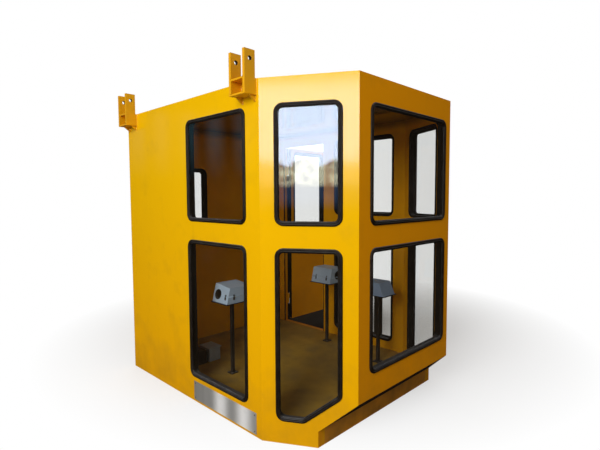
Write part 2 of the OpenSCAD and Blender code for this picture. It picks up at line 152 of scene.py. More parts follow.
class Value:
    """A socket whose numbers work in expressions: each operation adds a Math node."""

    def __init__(self, graph, socket):
        self.graph = graph
        self.socket = socket

    def math(self, operation, first, second):
        """The result of one Math node."""
        return self.graph.value("ShaderNodeMath", {0: first, 1: second}, operation=operation)

    def __add__(self, other):
        return self.math("ADD", self, other)

    def __radd__(self, other):
        return self.math("ADD", other, self)

    def __sub__(self, other):
        return self.math("SUBTRACT", self, other)

    def __rsub__(self, other):
        return self.math("SUBTRACT", other, self)

    def __mul__(self, other):
        return self.math("MULTIPLY", self, other)

    def __rmul__(self, other):
        return self.math("MULTIPLY", other, self)

    def __pow__(self, other):
        return self.math("POWER", self, other)

    def __rpow__(self, other):
        return self.math("POWER", other, self)

    def __abs__(self):
        return self.math("ABSOLUTE", self, 0.0)


class Graph:
    """Adds and links the nodes of one tree, which it empties first, and knows the tree's material."""

    def __init__(self, tree, material=None):
        self.tree = tree
        self.material = material
        tree.nodes.clear()

    def node(self, kind, sockets=None, **settings):
        """One node: its settings first, then the values or links of its sockets."""
        made = self.tree.nodes.new(kind)
        for name, value in settings.items():
            setattr(made, name, value)
        for key, value in (sockets or {}).items():
            if isinstance(value, Value):
                value = value.socket
            if isinstance(value, bpy.types.NodeSocket):
                self.tree.links.new(value, made.inputs[key])
            else:
                made.inputs[key].default_value = value
        return made

    def value(self, kind, sockets=None, output=0, **settings):
        """One node, and the number that it gives."""
        return Value(self, self.node(kind, sockets, **settings).outputs[output])

    def place(self, scale=(1.0, 1.0, 1.0)):
        """Object coordinates, stretched by a scale in each direction."""
        where = self.node("ShaderNodeTexCoord").outputs["Object"]
        return self.node("ShaderNodeMapping", {"Vector": where, "Scale": scale}).outputs["Vector"]

    def axis(self, name):
        """The X, Y or Z of the point that is shaded, in metres."""
        return self.value("ShaderNodeSeparateXYZ", {0: self.place()}, name)

    def noise(self, size, detail, stretch=(1.0, 1.0, 1.0)):
        """Noise whose features are about size metres across, from 0 to 1."""
        return self.value(
            "ShaderNodeTexNoise", {"Vector": self.place(stretch), "Scale": 1.0 / size, "Detail": detail}
        )

    def waves(self, direction, scale, phase):
        """Soft even bands across one direction, from 0 to 1, one for each 0.314 m over the scale."""
        return self.value(
            "ShaderNodeTexWave",
            {"Vector": self.place(), "Scale": scale, "Distortion": 0.0, "Phase Offset": phase},
            "Fac",
            bands_direction=direction,
        )

    def between(self, value, low, high):
        """0 at low and below, 1 at high and above, straight between."""
        return self.value("ShaderNodeMapRange", {"Value": value, "From Min": low, "From Max": high})

    def mix(self, factor, first, second):
        """A colour between two colours, each a socket or three numbers."""
        ends = [c if isinstance(c, bpy.types.NodeSocket) else opaque(c) for c in (first, second)]
        return self.node("ShaderNodeMix", {0: factor, 6: ends[0], 7: ends[1]}, data_type="RGBA").outputs[2]

    def blend(self, factor, first, second):
        """A shader between the first outputs of two shader nodes."""
        sockets = {0: factor, 1: first.outputs[0], 2: second.outputs[0]}
        return self.node("ShaderNodeMixShader", sockets)

    def room(self):
        """1 on what looks into the room or into a window's opening, and 0 outside."""
        across, along = abs(self.axis("X")), self.axis("Y")
        taper = FRONT_RIGHT.out
        depth = WALL_TOP - self.axis("Z")
        for other in (
            WIDTH_HALF - across,
            LENGTH_HALF - abs(along),
            taper.dot(FRONT_RIGHT.start) - across * taper.x - along * taper.y,
        ):
            depth = depth.math("MINIMUM", depth, other)
        return self.between(depth, 0.35 * WALL_T, 0.9 * WALL_T)

    def looks(self, direction):
        """1 on a face within 18 degrees of looking in a direction, and 0 from 57 degrees round."""
        normal = self.node("ShaderNodeNewGeometry").outputs["True Normal"]
        facing = self.value(
            "ShaderNodeVectorMath", {0: normal, 1: direction}, "Value", operation="DOT_PRODUCT"
        )
        return self.between(facing, 0.55, 0.95)

    def seen(self, path):
        """1 for what the camera sees straight, mirrored or through a pane, and 0 for what only lights."""
        kinds = ("Camera", "Glossy", "Transmission")
        direct, mirrored, through = [Value(self, path.outputs["Is %s Ray" % kind]) for kind in kinds]
        return self.between(direct + mirrored + through, 0.0, 1.0)


def opaque(colour):
    """A colour with its alpha."""
    return (*colour, 1.0)


def new_material(name):
    """The empty graph of a new material."""
    material = bpy.data.materials.new(name)
    material.use_nodes = True
    return Graph(material.node_tree, material)


def finished(graph, surface):
    """The graph's material, ended in the first output of a shader node."""
    graph.node("ShaderNodeOutputMaterial", {"Surface": surface.outputs[0]})
    return graph.material


def solid(graph, relief, looks):
    """The graph's material, ended in a solid surface: its relief in metres, and its looks by socket."""
    bump = graph.node("ShaderNodeBump", {"Strength": 1.0, "Distance": 1.0, "Height": relief})
    looks["Normal"] = bump.outputs["Normal"]
    return finished(graph, graph.node("ShaderNodeBsdfPrincipled", looks))


# ------------------------ finishes

CHIP_RUST = (0.10, 0.045, 0.02)
RUBBER_BLOOM = (0.036, 0.027, 0.018)
# Grey of dust and of a painted highlight on the rubbers' upper lips.
RUBBER_DUST_AND_HIGHLIGHT = (0.11, 0.11, 0.115)


def painted_steel(name, colour, faded, grime, gloss, dust, wear, shade=None, under=None):
    """Sprayed paint on sheet steel, with orange peel, faint runs of dirt, dust at the foot and chips.

    shade, where given, holds two painted shade tones: the first for faces that look forwards and in part
    for the lower walls, the second for the room's faces.
    under, where given, is a painted shade tone for the faces that look down, which are also made rougher.
    """
    graph = new_material(name)
    broad = graph.noise(0.9, 3.0)
    patches = graph.noise(0.16, 4.0)
    peel = graph.noise(0.0028, 1.0)
    runs = graph.noise(0.035, 3.0, (1.0, 1.0, 0.05))
    height = graph.axis("Z")
    foot = 1.0 - graph.between(height, 0.02, 0.55)
    dusty = graph.between(patches + foot * 0.45 + runs * 0.15, 0.62, 1.15) * dust
    streaks = graph.between(runs, 0.56, 0.78) * graph.between(patches, 0.4, 0.7) * (0.16 * dust)
    specks = graph.value("ShaderNodeTexVoronoi", {"Vector": graph.place(), "Scale": 26.0}, "Distance")
    worn = graph.between(patches + foot * 0.2, 0.62, 0.66)
    chips = (1.0 - graph.between(specks, 0.035, 0.05)) * worn * wear
    base = graph.mix(graph.between(broad, 0.3, 0.75), colour, faded)
    rough = gloss + patches * 0.05 + (dusty + streaks) * 0.4 + chips * 0.3
    if shade:
        forward_shade, room = shade
        settled = graph.looks(UP)
        rough = rough + settled * 0.7
        dusty = dusty + settled * (0.15 + patches * 0.25)
        # Painted shade: faces that look forwards take the first shade tone, and the walls take more of it
        # towards their bottom.
        low = (1.0 - graph.between(height, 0.1, 1.7)) * 0.45
        base = graph.mix(low + graph.looks(-REARWARDS) * (1.0 - low), base, forward_shade)
        # Painted shade in the room: the room's tone, made lighter up the walls and darker under the roof.
        upper = graph.between(height + broad * 0.2, 1.25, 1.6)
        inside = graph.mix(upper, room, [c * 1.3 for c in room])
        inside = graph.mix(graph.between(height, 2.08, 2.14), inside, [c * 0.4 for c in room])
        base = graph.mix(graph.room(), base, inside)
    base = graph.mix(dusty + streaks, base, grime)
    base = graph.mix(chips, base, CHIP_RUST)
    if under:
        # Painted shade on the faces that look down, with more roughness.
        painted_under_shade = graph.between(graph.looks(-UP), 0.0, 0.4)
        rough = rough + painted_under_shade * 0.7
        base = graph.mix(painted_under_shade, base, under)
    relief = peel * (0.05 * MM) + graph.noise(0.45, 1.0) * (1.6 * MM) - chips * (0.08 * MM)
    return solid(graph, relief, {"Base Color": base, "Roughness": rough, "Specular IOR Level": 0.36})


def window_rubber(name, colour):
    """Extruded black rubber with fine extrusion marks, a bloom, and grey dust with a painted highlight on
    the lips that look up.
    """
    graph = new_material(name)
    bloom = graph.between(graph.noise(0.05, 4.0), 0.4, 0.8)
    base = graph.mix(bloom * 0.4, colour, RUBBER_BLOOM)
    # Grey on the lips that look up: dust, and a painted highlight.
    base = graph.mix(graph.looks(UP) * (0.5 + bloom * 0.5), base, RUBBER_DUST_AND_HIGHLIGHT)
    return solid(
        graph,
        graph.noise(0.0016, 2.0) * (0.08 * MM),
        {"Base Color": base, "Roughness": 0.46 + bloom * 0.22, "Specular IOR Level": 0.17},
    )


def window_glass(name, tint, mirror):
    """Clear pane: what is behind shows through unbent, with a mirror that grows at the rim of sight."""
    graph = new_material(name)
    facing = graph.value("ShaderNodeLayerWeight", {"Blend": 0.5}, "Facing")
    shine = mirror + (1.0 - mirror) * facing ** 5.0
    film = graph.between(graph.noise(0.09, 5.0), 0.45, 0.85) * 0.008
    clear = graph.node("ShaderNodeBsdfTransparent", {"Color": opaque(tint)})
    gloss = graph.node("ShaderNodeBsdfGlossy", {"Color": WHITE, "Roughness": 0.01})
    haze = graph.node("ShaderNodeBsdfDiffuse", {"Color": (0.42, 0.30, 0.13, 1.0)})
    dusty = graph.blend(film, clear, haze)
    return finished(graph, graph.blend(shine, dusty, gloss))


def brushed_steel(name, colour, dull):
    """Stainless sheet with fine lines along it, small stains, and upright bands of painted highlight."""
    graph = new_material(name)
    lines = graph.noise(0.0012, 3.0, (0.02, 0.02, 1.0))
    stains = graph.between(graph.noise(0.04, 4.0), 0.5, 0.8)
    # Painted highlight: upright bands of light, mostly taken out towards the rear; colour is the tone in
    # the bands and dull between them.
    painted_sheen = graph.waves("Y", 1.247, 1.42) * 0.8 + 0.2
    painted_sheen = painted_sheen * (1.0 - graph.between(graph.axis("Y"), -0.10, 0.03) * 0.9)
    painted_sheen = painted_sheen * (1.0 - lines * 0.2 - stains * 0.15)
    return solid(
        graph,
        lines * (0.03 * MM),
        {
            "Base Color": graph.mix(painted_sheen, dull, colour),
            "Metallic": 0.5 - painted_sheen * 0.4,
            "Roughness": 0.34 + lines * 0.16 + stains * 0.1,
        },
    )


def worn_metal(name, colour, stain, gloss):
    """Bare or plated metal with a mottled film of oil and dirt."""
    graph = new_material(name)
    mottled = graph.noise(0.006, 4.0)
    film = graph.between(graph.noise(0.03, 4.0), 0.35, 0.8)
    return solid(
        graph,
        mottled * (0.06 * MM),
        {
            "Base Color": graph.mix(film * 0.55 + mottled * 0.2, colour, stain),
            "Metallic": 0.6,
            "Roughness": gloss + film * 0.2 + mottled * 0.08,
        },
    )


def make_finishes(look):
    """All the finishes of the cabin: those with the record's slot names, and those of small trim."""
    yellow, shade_yellow = look.yellow, look.painted_shade_yellow
    return {
        # The yellow enamel's shade tones are painted shade: on the walls that look forwards, the lower
        # walls and the room.
        "yellow_paint": painted_steel(
            "yellow_enamel", yellow, [c * 0.96 for c in yellow], (0.26, 0.13, 0.012), 0.055, 0.28, 0.7,
            shade=(shade_yellow, look.painted_room_shade),
        ),
        # The base enamel's faces that look down, such as the apron's, get a painted shade tone.
        "base_paint": painted_steel(
            "base_enamel", [c * 1.12 for c in shade_yellow], (0.72, 0.25, 0.001), (0.22, 0.10, 0.006), 0.42,
            0.7, 1.0, under=(0.020, 0.008, 0.001),
        ),
        "floor_paint": painted_steel(
            "floor_enamel", (0.44, 0.245, 0.010), (0.34, 0.19, 0.015), (0.24, 0.15, 0.035), 0.5, 1.0, 1.0
        ),
        "hanger_paint": painted_steel(
            "hanger_enamel", (0.80, 0.385, 0.003), (0.70, 0.33, 0.003), (0.26, 0.12, 0.008), 0.30, 0.35, 1.2
        ),
        "grey_paint": painted_steel(
            "console_grey_paint", look.console_grey, (0.33, 0.41, 0.49), (0.25, 0.22, 0.18), 0.36, 0.3, 0.5
        ),
        "slate_paint": painted_steel(
            "desk_slate_paint", look.desk_slate, (0.26, 0.34, 0.47), (0.20, 0.18, 0.15), 0.36, 0.3, 0.5
        ),
        "black_steel": painted_steel(
            "post_black_paint", (0.010, 0.007, 0.005), (0.018, 0.013, 0.009), (0.06, 0.045, 0.03), 0.46,
            0.5, 0.6
        ),
        "rubber_seal": window_rubber("window_rubber", look.rubber),
        "window_glass": window_glass("window_pane", look.glass_tint, 0.042),
        "stainless_steel": brushed_steel("brushed_stainless", (0.90, 0.89, 0.88), (0.33, 0.32, 0.30)),
        "zinc": worn_metal("zinc_plate", (0.50, 0.50, 0.49), (0.20, 0.17, 0.13), 0.42),
        "dark_steel": worn_metal("oiled_steel", (0.13, 0.12, 0.11), (0.06, 0.04, 0.03), 0.45),
        "bush_steel": worn_metal("bush_steel", (0.045, 0.030, 0.020), (0.02, 0.012, 0.008), 0.6),
    }


FINISHES = {}


# ------------------------ pieces

CRISP = math.radians(35.0)


def shown(name, data):
    """A new object in the scene."""
    thing = bpy.data.objects.new(name, data)
    bpy.context.scene.collection.objects.link(thing)
    return thing


def add_piece(name, mesh, body, slot, finish=None):
    """Puts a finished mesh in the scene, on its body and with its finish."""
    piece = shown(name, mesh)
    if not mesh.materials:
        mesh.materials.append(FINISHES[finish or slot])
    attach(piece, body)
    return piece


def geometry_tree(name, **inputs):
    """A geometry tree with named inputs, a material last: the tree, its graph and the inputs' sockets."""
    tree = bpy.data.node_groups.new(name, "GeometryNodeTree")
    for label, kind in {"Geometry": "Geometry", **inputs, "Material": "Material"}.items():
        tree.interface.new_socket(label, in_out="INPUT", socket_type="NodeSocket" + kind)
    tree.interface.new_socket("Geometry", in_out="OUTPUT", socket_type="NodeSocketGeometry")
    graph = Graph(tree)
    return tree, graph, graph.node("NodeGroupInput").outputs


def close_tree(graph, given, geometry):
    """Ends a geometry tree in plain geometry with its material."""
    real = graph.node("GeometryNodeRealizeInstances", {"Geometry": geometry.outputs[0]})
    painted = graph.node(
        "GeometryNodeSetMaterial", {"Geometry": real.outputs[0], "Material": given["Material"]}
    )
    graph.node("NodeGroupOutput", {"Geometry": painted.outputs[0]})


def face_outwards(mesh):
    """Turns the faces of closed bodies over when they look inwards."""
    shape = bmesh.new()
    shape.from_mesh(mesh)
    if shape.calc_volume(signed=True) < 0.0:
        bmesh.ops.reverse_faces(shape, faces=shape.faces)
        shape.to_mesh(mesh)
    shape.free()


def grow_piece(name, source, tree, values, body, slot, finish=None, matrix=Matrix(), rounded=True):
    """A piece whose plain mesh a geometry tree makes from a source mesh; rounded shades it smooth."""
    holder = shown(name + "_source", source)
    modifier = holder.modifiers.new("growth", "NODES")
    modifier.node_group = tree
    values = {**values, "Material": FINISHES[finish or slot]}
    for item in tree.interface.items_tree:
        if item.in_out == "INPUT" and item.name in values:
            modifier[item.identifier] = values[item.name]
    graph = bpy.context.evaluated_depsgraph_get()
    graph.update()
    mesh = bpy.data.meshes.new_from_object(holder.evaluated_get(graph), depsgraph=graph)
    holder.modifiers.remove(modifier)
    bpy.data.objects.remove(holder)
    mesh.transform(matrix)
    face_outwards(mesh)
    mesh.name = name
    if rounded:
        mesh.shade_smooth()
    return add_piece(name, mesh, body, slot)


def mesh_of(shape, name):
    """The mesh of a bmesh shape: faces outwards, and its sharper edges kept crisp."""
    bmesh.ops.recalc_face_normals(shape, faces=shape.faces)
    for edge in shape.edges:
        edge.smooth = edge.calc_face_angle(0.0) < CRISP
    for face in shape.faces:
        face.smooth = True
    mesh = bpy.data.meshes.new(name)
    shape.to_mesh(mesh)
    shape.free()
    return mesh


def shape_piece(name, shape, body, slot, finish=None):
    """A piece from a bmesh shape."""
    return add_piece(name, mesh_of(shape, name), body, slot, finish)


def turned(shape, profile, sides, place=Matrix()):
    """Adds the solid that a profile of (radius, height) in mm makes when it turns round Z.

    A profile starts and ends on the axis, or else closes on its first point.
    """
    rings = []
    for radius, height in profile:
        turns = [2.0 * math.pi * i / sides for i in range(sides if radius else 1)]
        ring = [Vector((radius * math.cos(turn), radius * math.sin(turn), height)) for turn in turns]
        rings.append([shape.verts.new(place @ (point * MM)) for point in ring])
    if profile[0][0]:
        rings.append(rings[0])
    for low, high in zip(rings, rings[1:]):
        for i in range(sides):
            corners = (
                low[i % len(low)], low[(i + 1) % len(low)], high[(i + 1) % len(high)], high[i % len(high)]
            )
            shape.faces.new(dict.fromkeys(corners))


def slab(shape, low, high, rounding, place=Matrix()):
    """Adds a block between two corners, with rounded edges; sizes in mm."""
    middle = (Vector(low) + Vector(high)) * (MM / 2)
    size = (Vector(high) - Vector(low)) * MM
    matrix = place @ Matrix.Translation(middle) @ Matrix.Diagonal((*size, 1.0))
    made = bmesh.ops.create_cube(shape, size=1.0, matrix=matrix)
    edges = list(dict.fromkeys(edge for vert in made["verts"] for edge in vert.link_edges))
    bmesh.ops.bevel(
        shape, geom=edges, offset=rounding * MM, segments=2, profile=0.5, affect="EDGES"
    )


def seated(point, out):
    """Places a small drawing at a point, with Z along out and Y as near to upright as it can be."""
    out = Vector(out).normalized()
    side = UP.cross(out)
    if side.length < 0.01:
        side = RIGHTWARDS.copy()
    side.normalize()
    placed = Matrix((side, out.cross(side), out)).transposed().to_4x4()
    placed.translation = Vector(point)
    return placed


def wire_mesh(name, verts, edges):
    """A mesh of points and edges alone."""
    mesh = bpy.data.meshes.new(name)
    mesh.from_pydata(verts, edges, [])
    return mesh


def points_mesh(name, seats):
    """Points with the way that each faces, from (point, out) pairs."""
    mesh = wire_mesh(name, [tuple(point) for point, out in seats], [])
    facing = mesh.attributes.new("facing", "FLOAT_VECTOR", "POINT")
    for item, (point, out) in zip(facing.data, seats):
        item.vector = out
    return mesh


def runs_mesh(name, runs, closed=False):
    """Runs of edges through points in space, or closed rings of them."""
    verts, edges = [], []
    for run in runs:
        first, count = len(verts), len(run)
        verts.extend(tuple(point) for point in run)
        edges.extend((first + i, first + (i + 1) % count) for i in range(count if closed else count - 1))
    return wire_mesh(name, verts, edges)


# ------------------------ window rubbers

# The window rubber's section in mm: distance inwards from its outer edge, then height over the
# wall. The lap carries it on through the opening and round the edge of the wall's inner face.
RUBBER_FACE = (
    (10.2, -0.6), (0.0, -0.3), (0.2, 2.6), (1.2, 5.6), (3.4, 8.2), (6.6, 9.7), (10.0, 10.0),
    (12.8, 9.2), (14.2, 7.6), (15.0, 6.8), (15.8, 7.7), (17.2, 9.3), (19.6, 9.9), (22.0, 9.2),
    (23.4, 7.4), (24.2, 6.2), (25.4, 6.3), (27.2, 5.0), (28.8, 2.9), (29.6, 0.8), (29.6, -6.6),
    (28.4, -9.6), (25.4, -12.4), (21.0, -13.8), (17.2, -14.8), (15.8, -17.4),
)
RUBBER_LAP = (
    (15.4, 6.0), (15.0, -1.4), (13.2, -3.6), (8.0, -4.6), (0.0, -4.4), (-5.4, -3.2), (-6.6, -1.4),
    (-6.0, -0.2), (10.2, -0.2), (10.2, 6.0),
)
SEALS = (
    ("front_seals", FRONT), ("front_left_seals", FRONT_LEFT), ("front_right_seals", FRONT_RIGHT),
    ("left_seals", LEFT), ("right_seals", RIGHT), ("rear_seal", REAR), ("door_seal", LEAF),
)


def rubber_section(wall):
    """The whole section, for a wall so many metres thick."""
    return RUBBER_FACE + tuple((x, y - wall / MM) for x, y in RUBBER_LAP)


def section_object(name, section):
    """A closed flat curve object that a tree sweeps along a path."""
    curve = bpy.data.curves.new(name, "CURVE")
    curve.dimensions = "3D"
    spline = curve.splines.new("POLY")
    spline.points.add(len(section) - 1)
    for point, (inwards, height) in zip(spline.points, section):
        point.co = (-inwards * MM, -height * MM, 0.0, 1.0)
    spline.use_cyclic_u = True
    return shown(name, curve)


def sweep_tree():
    """Sweeps a section along flat paths."""
    tree, graph, given = geometry_tree("profile_sweep", Section="Object")
    path = graph.node("GeometryNodeMeshToCurve", {"Mesh": given["Geometry"]})
    upright = graph.node("GeometryNodeSetCurveNormal", {"Curve": path.outputs[0]}, mode="Z_UP")
    section = graph.node("GeometryNodeObjectInfo", {"Object": given["Section"]})
    swept = graph.node(
        "GeometryNodeCurveToMesh",
        {"Curve": upright.outputs[0], "Profile Curve": section.outputs["Geometry"], "Fill Caps": True},
    )
    close_tree(graph, given, swept)
    return tree


class CABIN_OT_window_rubbers(bpy.types.Operator):
    """Sweeps the rubber section round every window"""

    bl_idname = "cabin.window_rubbers"
    bl_label = "Window rubbers"

    def execute(self, context):
        tree = sweep_tree()
        sections = {
            CABIN: section_object("wall_rubber_section", rubber_section(WALL_T)),
            DOOR: section_object("door_rubber_section", rubber_section(LEAF_T)),
        }
        for node, face in SEALS:
            name = node.replace("seal", "window_rubber")
            body = DOOR if face is LEAF else CABIN
            rings = [[p.to_3d() for p in outline(points, face)] for points in islands(node)]
            path = runs_mesh(name + "_path", rings, closed=True)
            piece = grow_piece(
                name, path, tree, {"Section": sections[body]}, body, "rubber_seal", matrix=face.matrix()
            )
            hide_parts(node)
        for section in sections.values():
            bpy.data.objects.remove(section)
        return {"FINISHED"}


# ------------------------ fasteners

HANGER_NODES = ["hanger_%s_%s" % (end, side) for end in ("front", "rear") for side in ("left", "right")]
STAND_NODES = ("left_console_stand", "right_console_stand", "front_console_stand")
FOOT_T = 0.006
FOOT_BOLT = 0.022
PLATE_INSET = 0.016
LID_INSET = 0.018
LID_SHARE = 0.38
CONSOLE_LEAN = 0.035
CONSOLE_DROP = 0.018

# The hinges: their height and radius, the line of their pins, the height of each one's foot, how far
# the screws are from the line along a flap and out to its skin, and the screws' heights over the foot.
HINGE_H = 0.110
HINGE_R = 0.010
HINGE_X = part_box("door_hinge_pins")[1].x - HINGE_R
HINGE_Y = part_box("right_rear_post")[0].y
HINGE_HEIGHTS = sorted(min(p.z for p in points) for points in islands("door_hinge_pins"))
FLAP_REACH = 0.026
FLAP_SKIN = 0.007
POST_SCREWS = (0.012, 0.043)
LEAF_SCREWS = (0.068, 0.098)

# The handle's back plate: its width and thickness, and its screws' heights over its middle.
HANDLE_W = 0.036
HANDLE_T = 0.005
HANDLE_SCREWS = (-0.072, 0.072)


def cross_screw(radius, height):
    """Pan head screw with a cross recess, seated on Z = 0; sizes in mm."""
    reach, half, depth = radius * 0.56, radius * 0.14, height * 0.55
    recess = [
        (x * cos - y * sin, x * sin + y * cos)
        for cos, sin in ((1, 0), (0, 1), (-1, 0), (0, -1))
        for x, y in ((reach, -half), (reach, half), (half, half))
    ]
    shape = bmesh.new()
    rings = []
    for rim, level in ((0.96, -0.6), (1.0, 0.3), (0.93, height * 0.55), (0.72, height * 0.88)):
        ring = [Vector((x, y, 0.0)).normalized() * (radius * rim) + UP * level for x, y in recess]
        rings.append([shape.verts.new(point * MM) for point in ring])
    for level in (height, height - depth):
        rings.append([shape.verts.new(Vector((x, y, level)) * MM) for x, y in recess])
    middle = shape.verts.new(UP * (height - depth) * MM)
    under = shape.verts.new(UP * -0.6 * MM)
    for i in range(len(recess)):
        j = (i + 1) % len(recess)
        for low, high in zip(rings, rings[1:]):
            shape.faces.new((low[i], low[j], high[j], high[i]))
        shape.faces.new((rings[-1][i], rings[-1][j], middle))
        shape.faces.new((rings[0][j], rings[0][i], under))
    return mesh_of(shape, "cross_screw")


def hex_bolt(flat, height, washer):
    """Hexagon bolt head on a washer, seated on Z = 0; sizes in mm."""
    shape = bmesh.new()
    turned(shape, ((0.0, -0.6), (washer, -0.6), (washer, 1.6), (washer - 0.5, 2.0), (0.0, 2.0)), 20)
    corner, top = flat / math.sqrt(3.0), 2.0 + height
    turned(shape, ((0.0, 1.8), (corner, 1.8), (corner, top - 0.9), (corner * 0.86, top), (0.0, top)), 6)
    return mesh_of(shape, "hex_bolt")


def scatter_tree():
    """Seats a fastener on every point: Z along its facing, Y upwards, then a seeded turn."""
    tree, graph, given = geometry_tree("fastener_scatter", Fastener="Object", Spin="Float", Seed="Int")
    facing = graph.node("GeometryNodeInputNamedAttribute", {"Name": "facing"}, data_type="FLOAT_VECTOR")
    outwards = graph.node(
        "FunctionNodeAlignRotationToVector", {"Vector": facing.outputs["Attribute"]}, axis="Z"
    )
    upright = graph.node(
        "FunctionNodeAlignRotationToVector",
        {"Rotation": outwards.outputs[0], "Vector": UP},
        axis="Y",
        pivot_axis="Z",
    )
    turn = graph.node("FunctionNodeRandomValue", {2: 0.0, 3: given["Spin"], 8: given["Seed"]})
    spin = graph.node("ShaderNodeCombineXYZ", {"Z": turn.outputs[1]})
    spin = graph.node("FunctionNodeEulerToRotation", {0: spin.outputs[0]})
    turned_in = graph.node(
        "FunctionNodeRotateRotation",
        {"Rotation": upright.outputs[0], "Rotate By": spin.outputs[0]},
        rotation_space="LOCAL",
    )
    fastener = graph.node("GeometryNodeObjectInfo", {"Object": given["Fastener"]})
    seated_on = graph.node(
        "GeometryNodeInstanceOnPoints",
        {0: given["Geometry"], 2: fastener.outputs["Geometry"], 5: turned_in.outputs[0]},
    )
    close_tree(graph, given, seated_on)
    return tree


def plate_seats():
    """The nameplate's corners."""
    low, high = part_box("nameplate")
    return [
        (Vector((low.x, y, z)), -RIGHTWARDS)
        for y in (low.y + PLATE_INSET, high.y - PLATE_INSET)
        for z in (low.z + PLATE_INSET, high.z - PLATE_INSET)
    ]


def stand_axis(node):
    """Where a console's post stands, and the box of its stand."""
    low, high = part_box(node)
    return (low.x + high.x) / 2, (low.y + high.y) / 2, low, high


def foot_seats():
    """Four bolts in each console's foot plate."""
    seats = []
    for node in STAND_NODES:
        x, y, low, high = stand_axis(node)
        seats.extend(
            (Vector((x + dx, y + dy, low.z + FOOT_T)), UP)
            for dx in (-FOOT_BOLT, FOOT_BOLT)
            for dy in (-FOOT_BOLT, FOOT_BOLT)
        )
    return seats


def hinge_seats(dx, dy, levels, out):
    """Screws in one flap of each hinge, at a place beside the pins' line."""
    return [
        (Vector((HINGE_X + dx, HINGE_Y + dy, z + level)), out) for z in HINGE_HEIGHTS for level in levels
    ]


def handle_places():
    """Middle of the handle's back plate on each face of the leaf, and the way it faces."""
    low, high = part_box("door_handle")
    x, z = high.x - HANDLE_W / 2, (low.z + high.z) / 2
    return [
        (Vector((x, LEAF_HIGH.y + HANDLE_T, z)), REARWARDS),
        (Vector((x, LEAF_LOW.y - HANDLE_T, z)), -REARWARDS),
    ]


def handle_seats():
    """Two screws in each back plate of the handle."""
    return [(place + UP * dz, out) for place, out in handle_places() for dz in HANDLE_SCREWS]


def lid_seats():
    """Corner screws in the lids of the side consoles and of the junction box."""
    seats = []
    for node, lean, drop in (
        ("left_console_box", CONSOLE_LEAN, CONSOLE_DROP),
        ("right_console_box", CONSOLE_LEAN, 0.0),
        ("junction_box", 0.0, 0.0),
    ):
        low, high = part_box(node)
        slope = drop / (high.y - low.y)
        seats.extend(
            (Vector((x, y, high.z - slope * (high.y - y))), Vector((0.0, -slope, 1.0)).normalized())
            for x in (low.x + lean + LID_INSET, high.x - LID_INSET)
            for y in (low.y + LID_INSET, high.y - LID_INSET)
        )
    return seats


class CABIN_OT_fasteners(bpy.types.Operator):
    """Seats the screws and bolts"""

    bl_idname = "cabin.fasteners"
    bl_label = "Fasteners"

    def execute(self, context):
        trim = context.scene.cabin_trim
        tree = scatter_tree()
        kinds = (
            ("plate_screw", cross_screw(trim.plate_screw / MM, 2.4)),
            ("hinge_screw", cross_screw(trim.hinge_screw / MM, 2.0)),
            ("small_screw", cross_screw(trim.small_screw / MM, 1.5)),
            ("foot_bolt", hex_bolt(trim.foot_bolt / MM, 5.0, 9.0)),
        )
        plate, hinge, small, bolt = [shown(name, mesh) for name, mesh in kinds]
        post_seats = hinge_seats(-FLAP_SKIN, FLAP_REACH, POST_SCREWS, RIGHTWARDS)
        leaf_seats = hinge_seats(FLAP_REACH, -FLAP_SKIN, LEAF_SCREWS, REARWARDS)
        groups = (
            ("nameplate_screws", plate, plate_seats(), CABIN, "dark_steel"),
            ("console_foot_bolts", bolt, foot_seats(), CABIN, "dark_steel"),
            ("hinge_post_screws", hinge, post_seats, CABIN, "zinc"),
            ("hinge_leaf_screws", hinge, leaf_seats, DOOR, "zinc"),
            ("handle_screws", small, handle_seats(), DOOR, "zinc"),
            ("lid_screws", small, lid_seats(), CABIN, "zinc"),
        )
        for seed, (name, fastener, seats, body, finish) in enumerate(groups):
            values = {"Fastener": fastener, "Spin": trim.screw_turn, "Seed": seed}
            points = points_mesh(name + "_points", seats)
            grow_piece(name, points, tree, values, body, "stainless_steel", finish, rounded=False)
        for holder in (plate, hinge, small, bolt):
            bpy.data.objects.remove(holder)
        return {"FINISHED"}


# ------------------------ weld beads

PAD_T = 0.012
EAR_T = 0.020
CROSS_T = 0.010
GUSSET_H = 0.038
GUSSET_TIP = GUSSET_H * 0.1
BEAM_ENDS = 0.020
POST_HALF = 0.012
COLUMN_HALF = 0.025
TRAY_T = 0.005
BEAD_LEAST = 0.72
BEAD_MOST = 1.12


def weld_tree():
    """A rippled bead along runs of edges: each bead of metal is a little thicker or thinner."""
    tree, graph, given = geometry_tree("weld_bead", Radius="Float", Ripple="Float", Seed="Int")
    path = graph.node("GeometryNodeMeshToCurve", {"Mesh": given["Geometry"]})
    beads = graph.node("GeometryNodeResampleCurve", {0: path.outputs[0], 3: given["Ripple"]}, mode="LENGTH")
    random = graph.node("FunctionNodeRandomValue", {2: BEAD_LEAST, 3: BEAD_MOST, 8: given["Seed"]})
    uneven = random.outputs[1]
    swollen = graph.node("GeometryNodeSetCurveRadius", {"Curve": beads.outputs[0], "Radius": uneven})
    ring = graph.node("GeometryNodeCurvePrimitiveCircle", {0: 8, 4: given["Radius"]})
    swept = graph.node(
        "GeometryNodeCurveToMesh",
        {
            "Curve": swollen.outputs[0],
            "Profile Curve": ring.outputs[0],
            "Scale": uneven,
            "Fill Caps": True,
        },
    )
    close_tree(graph, given, swept)
    return tree


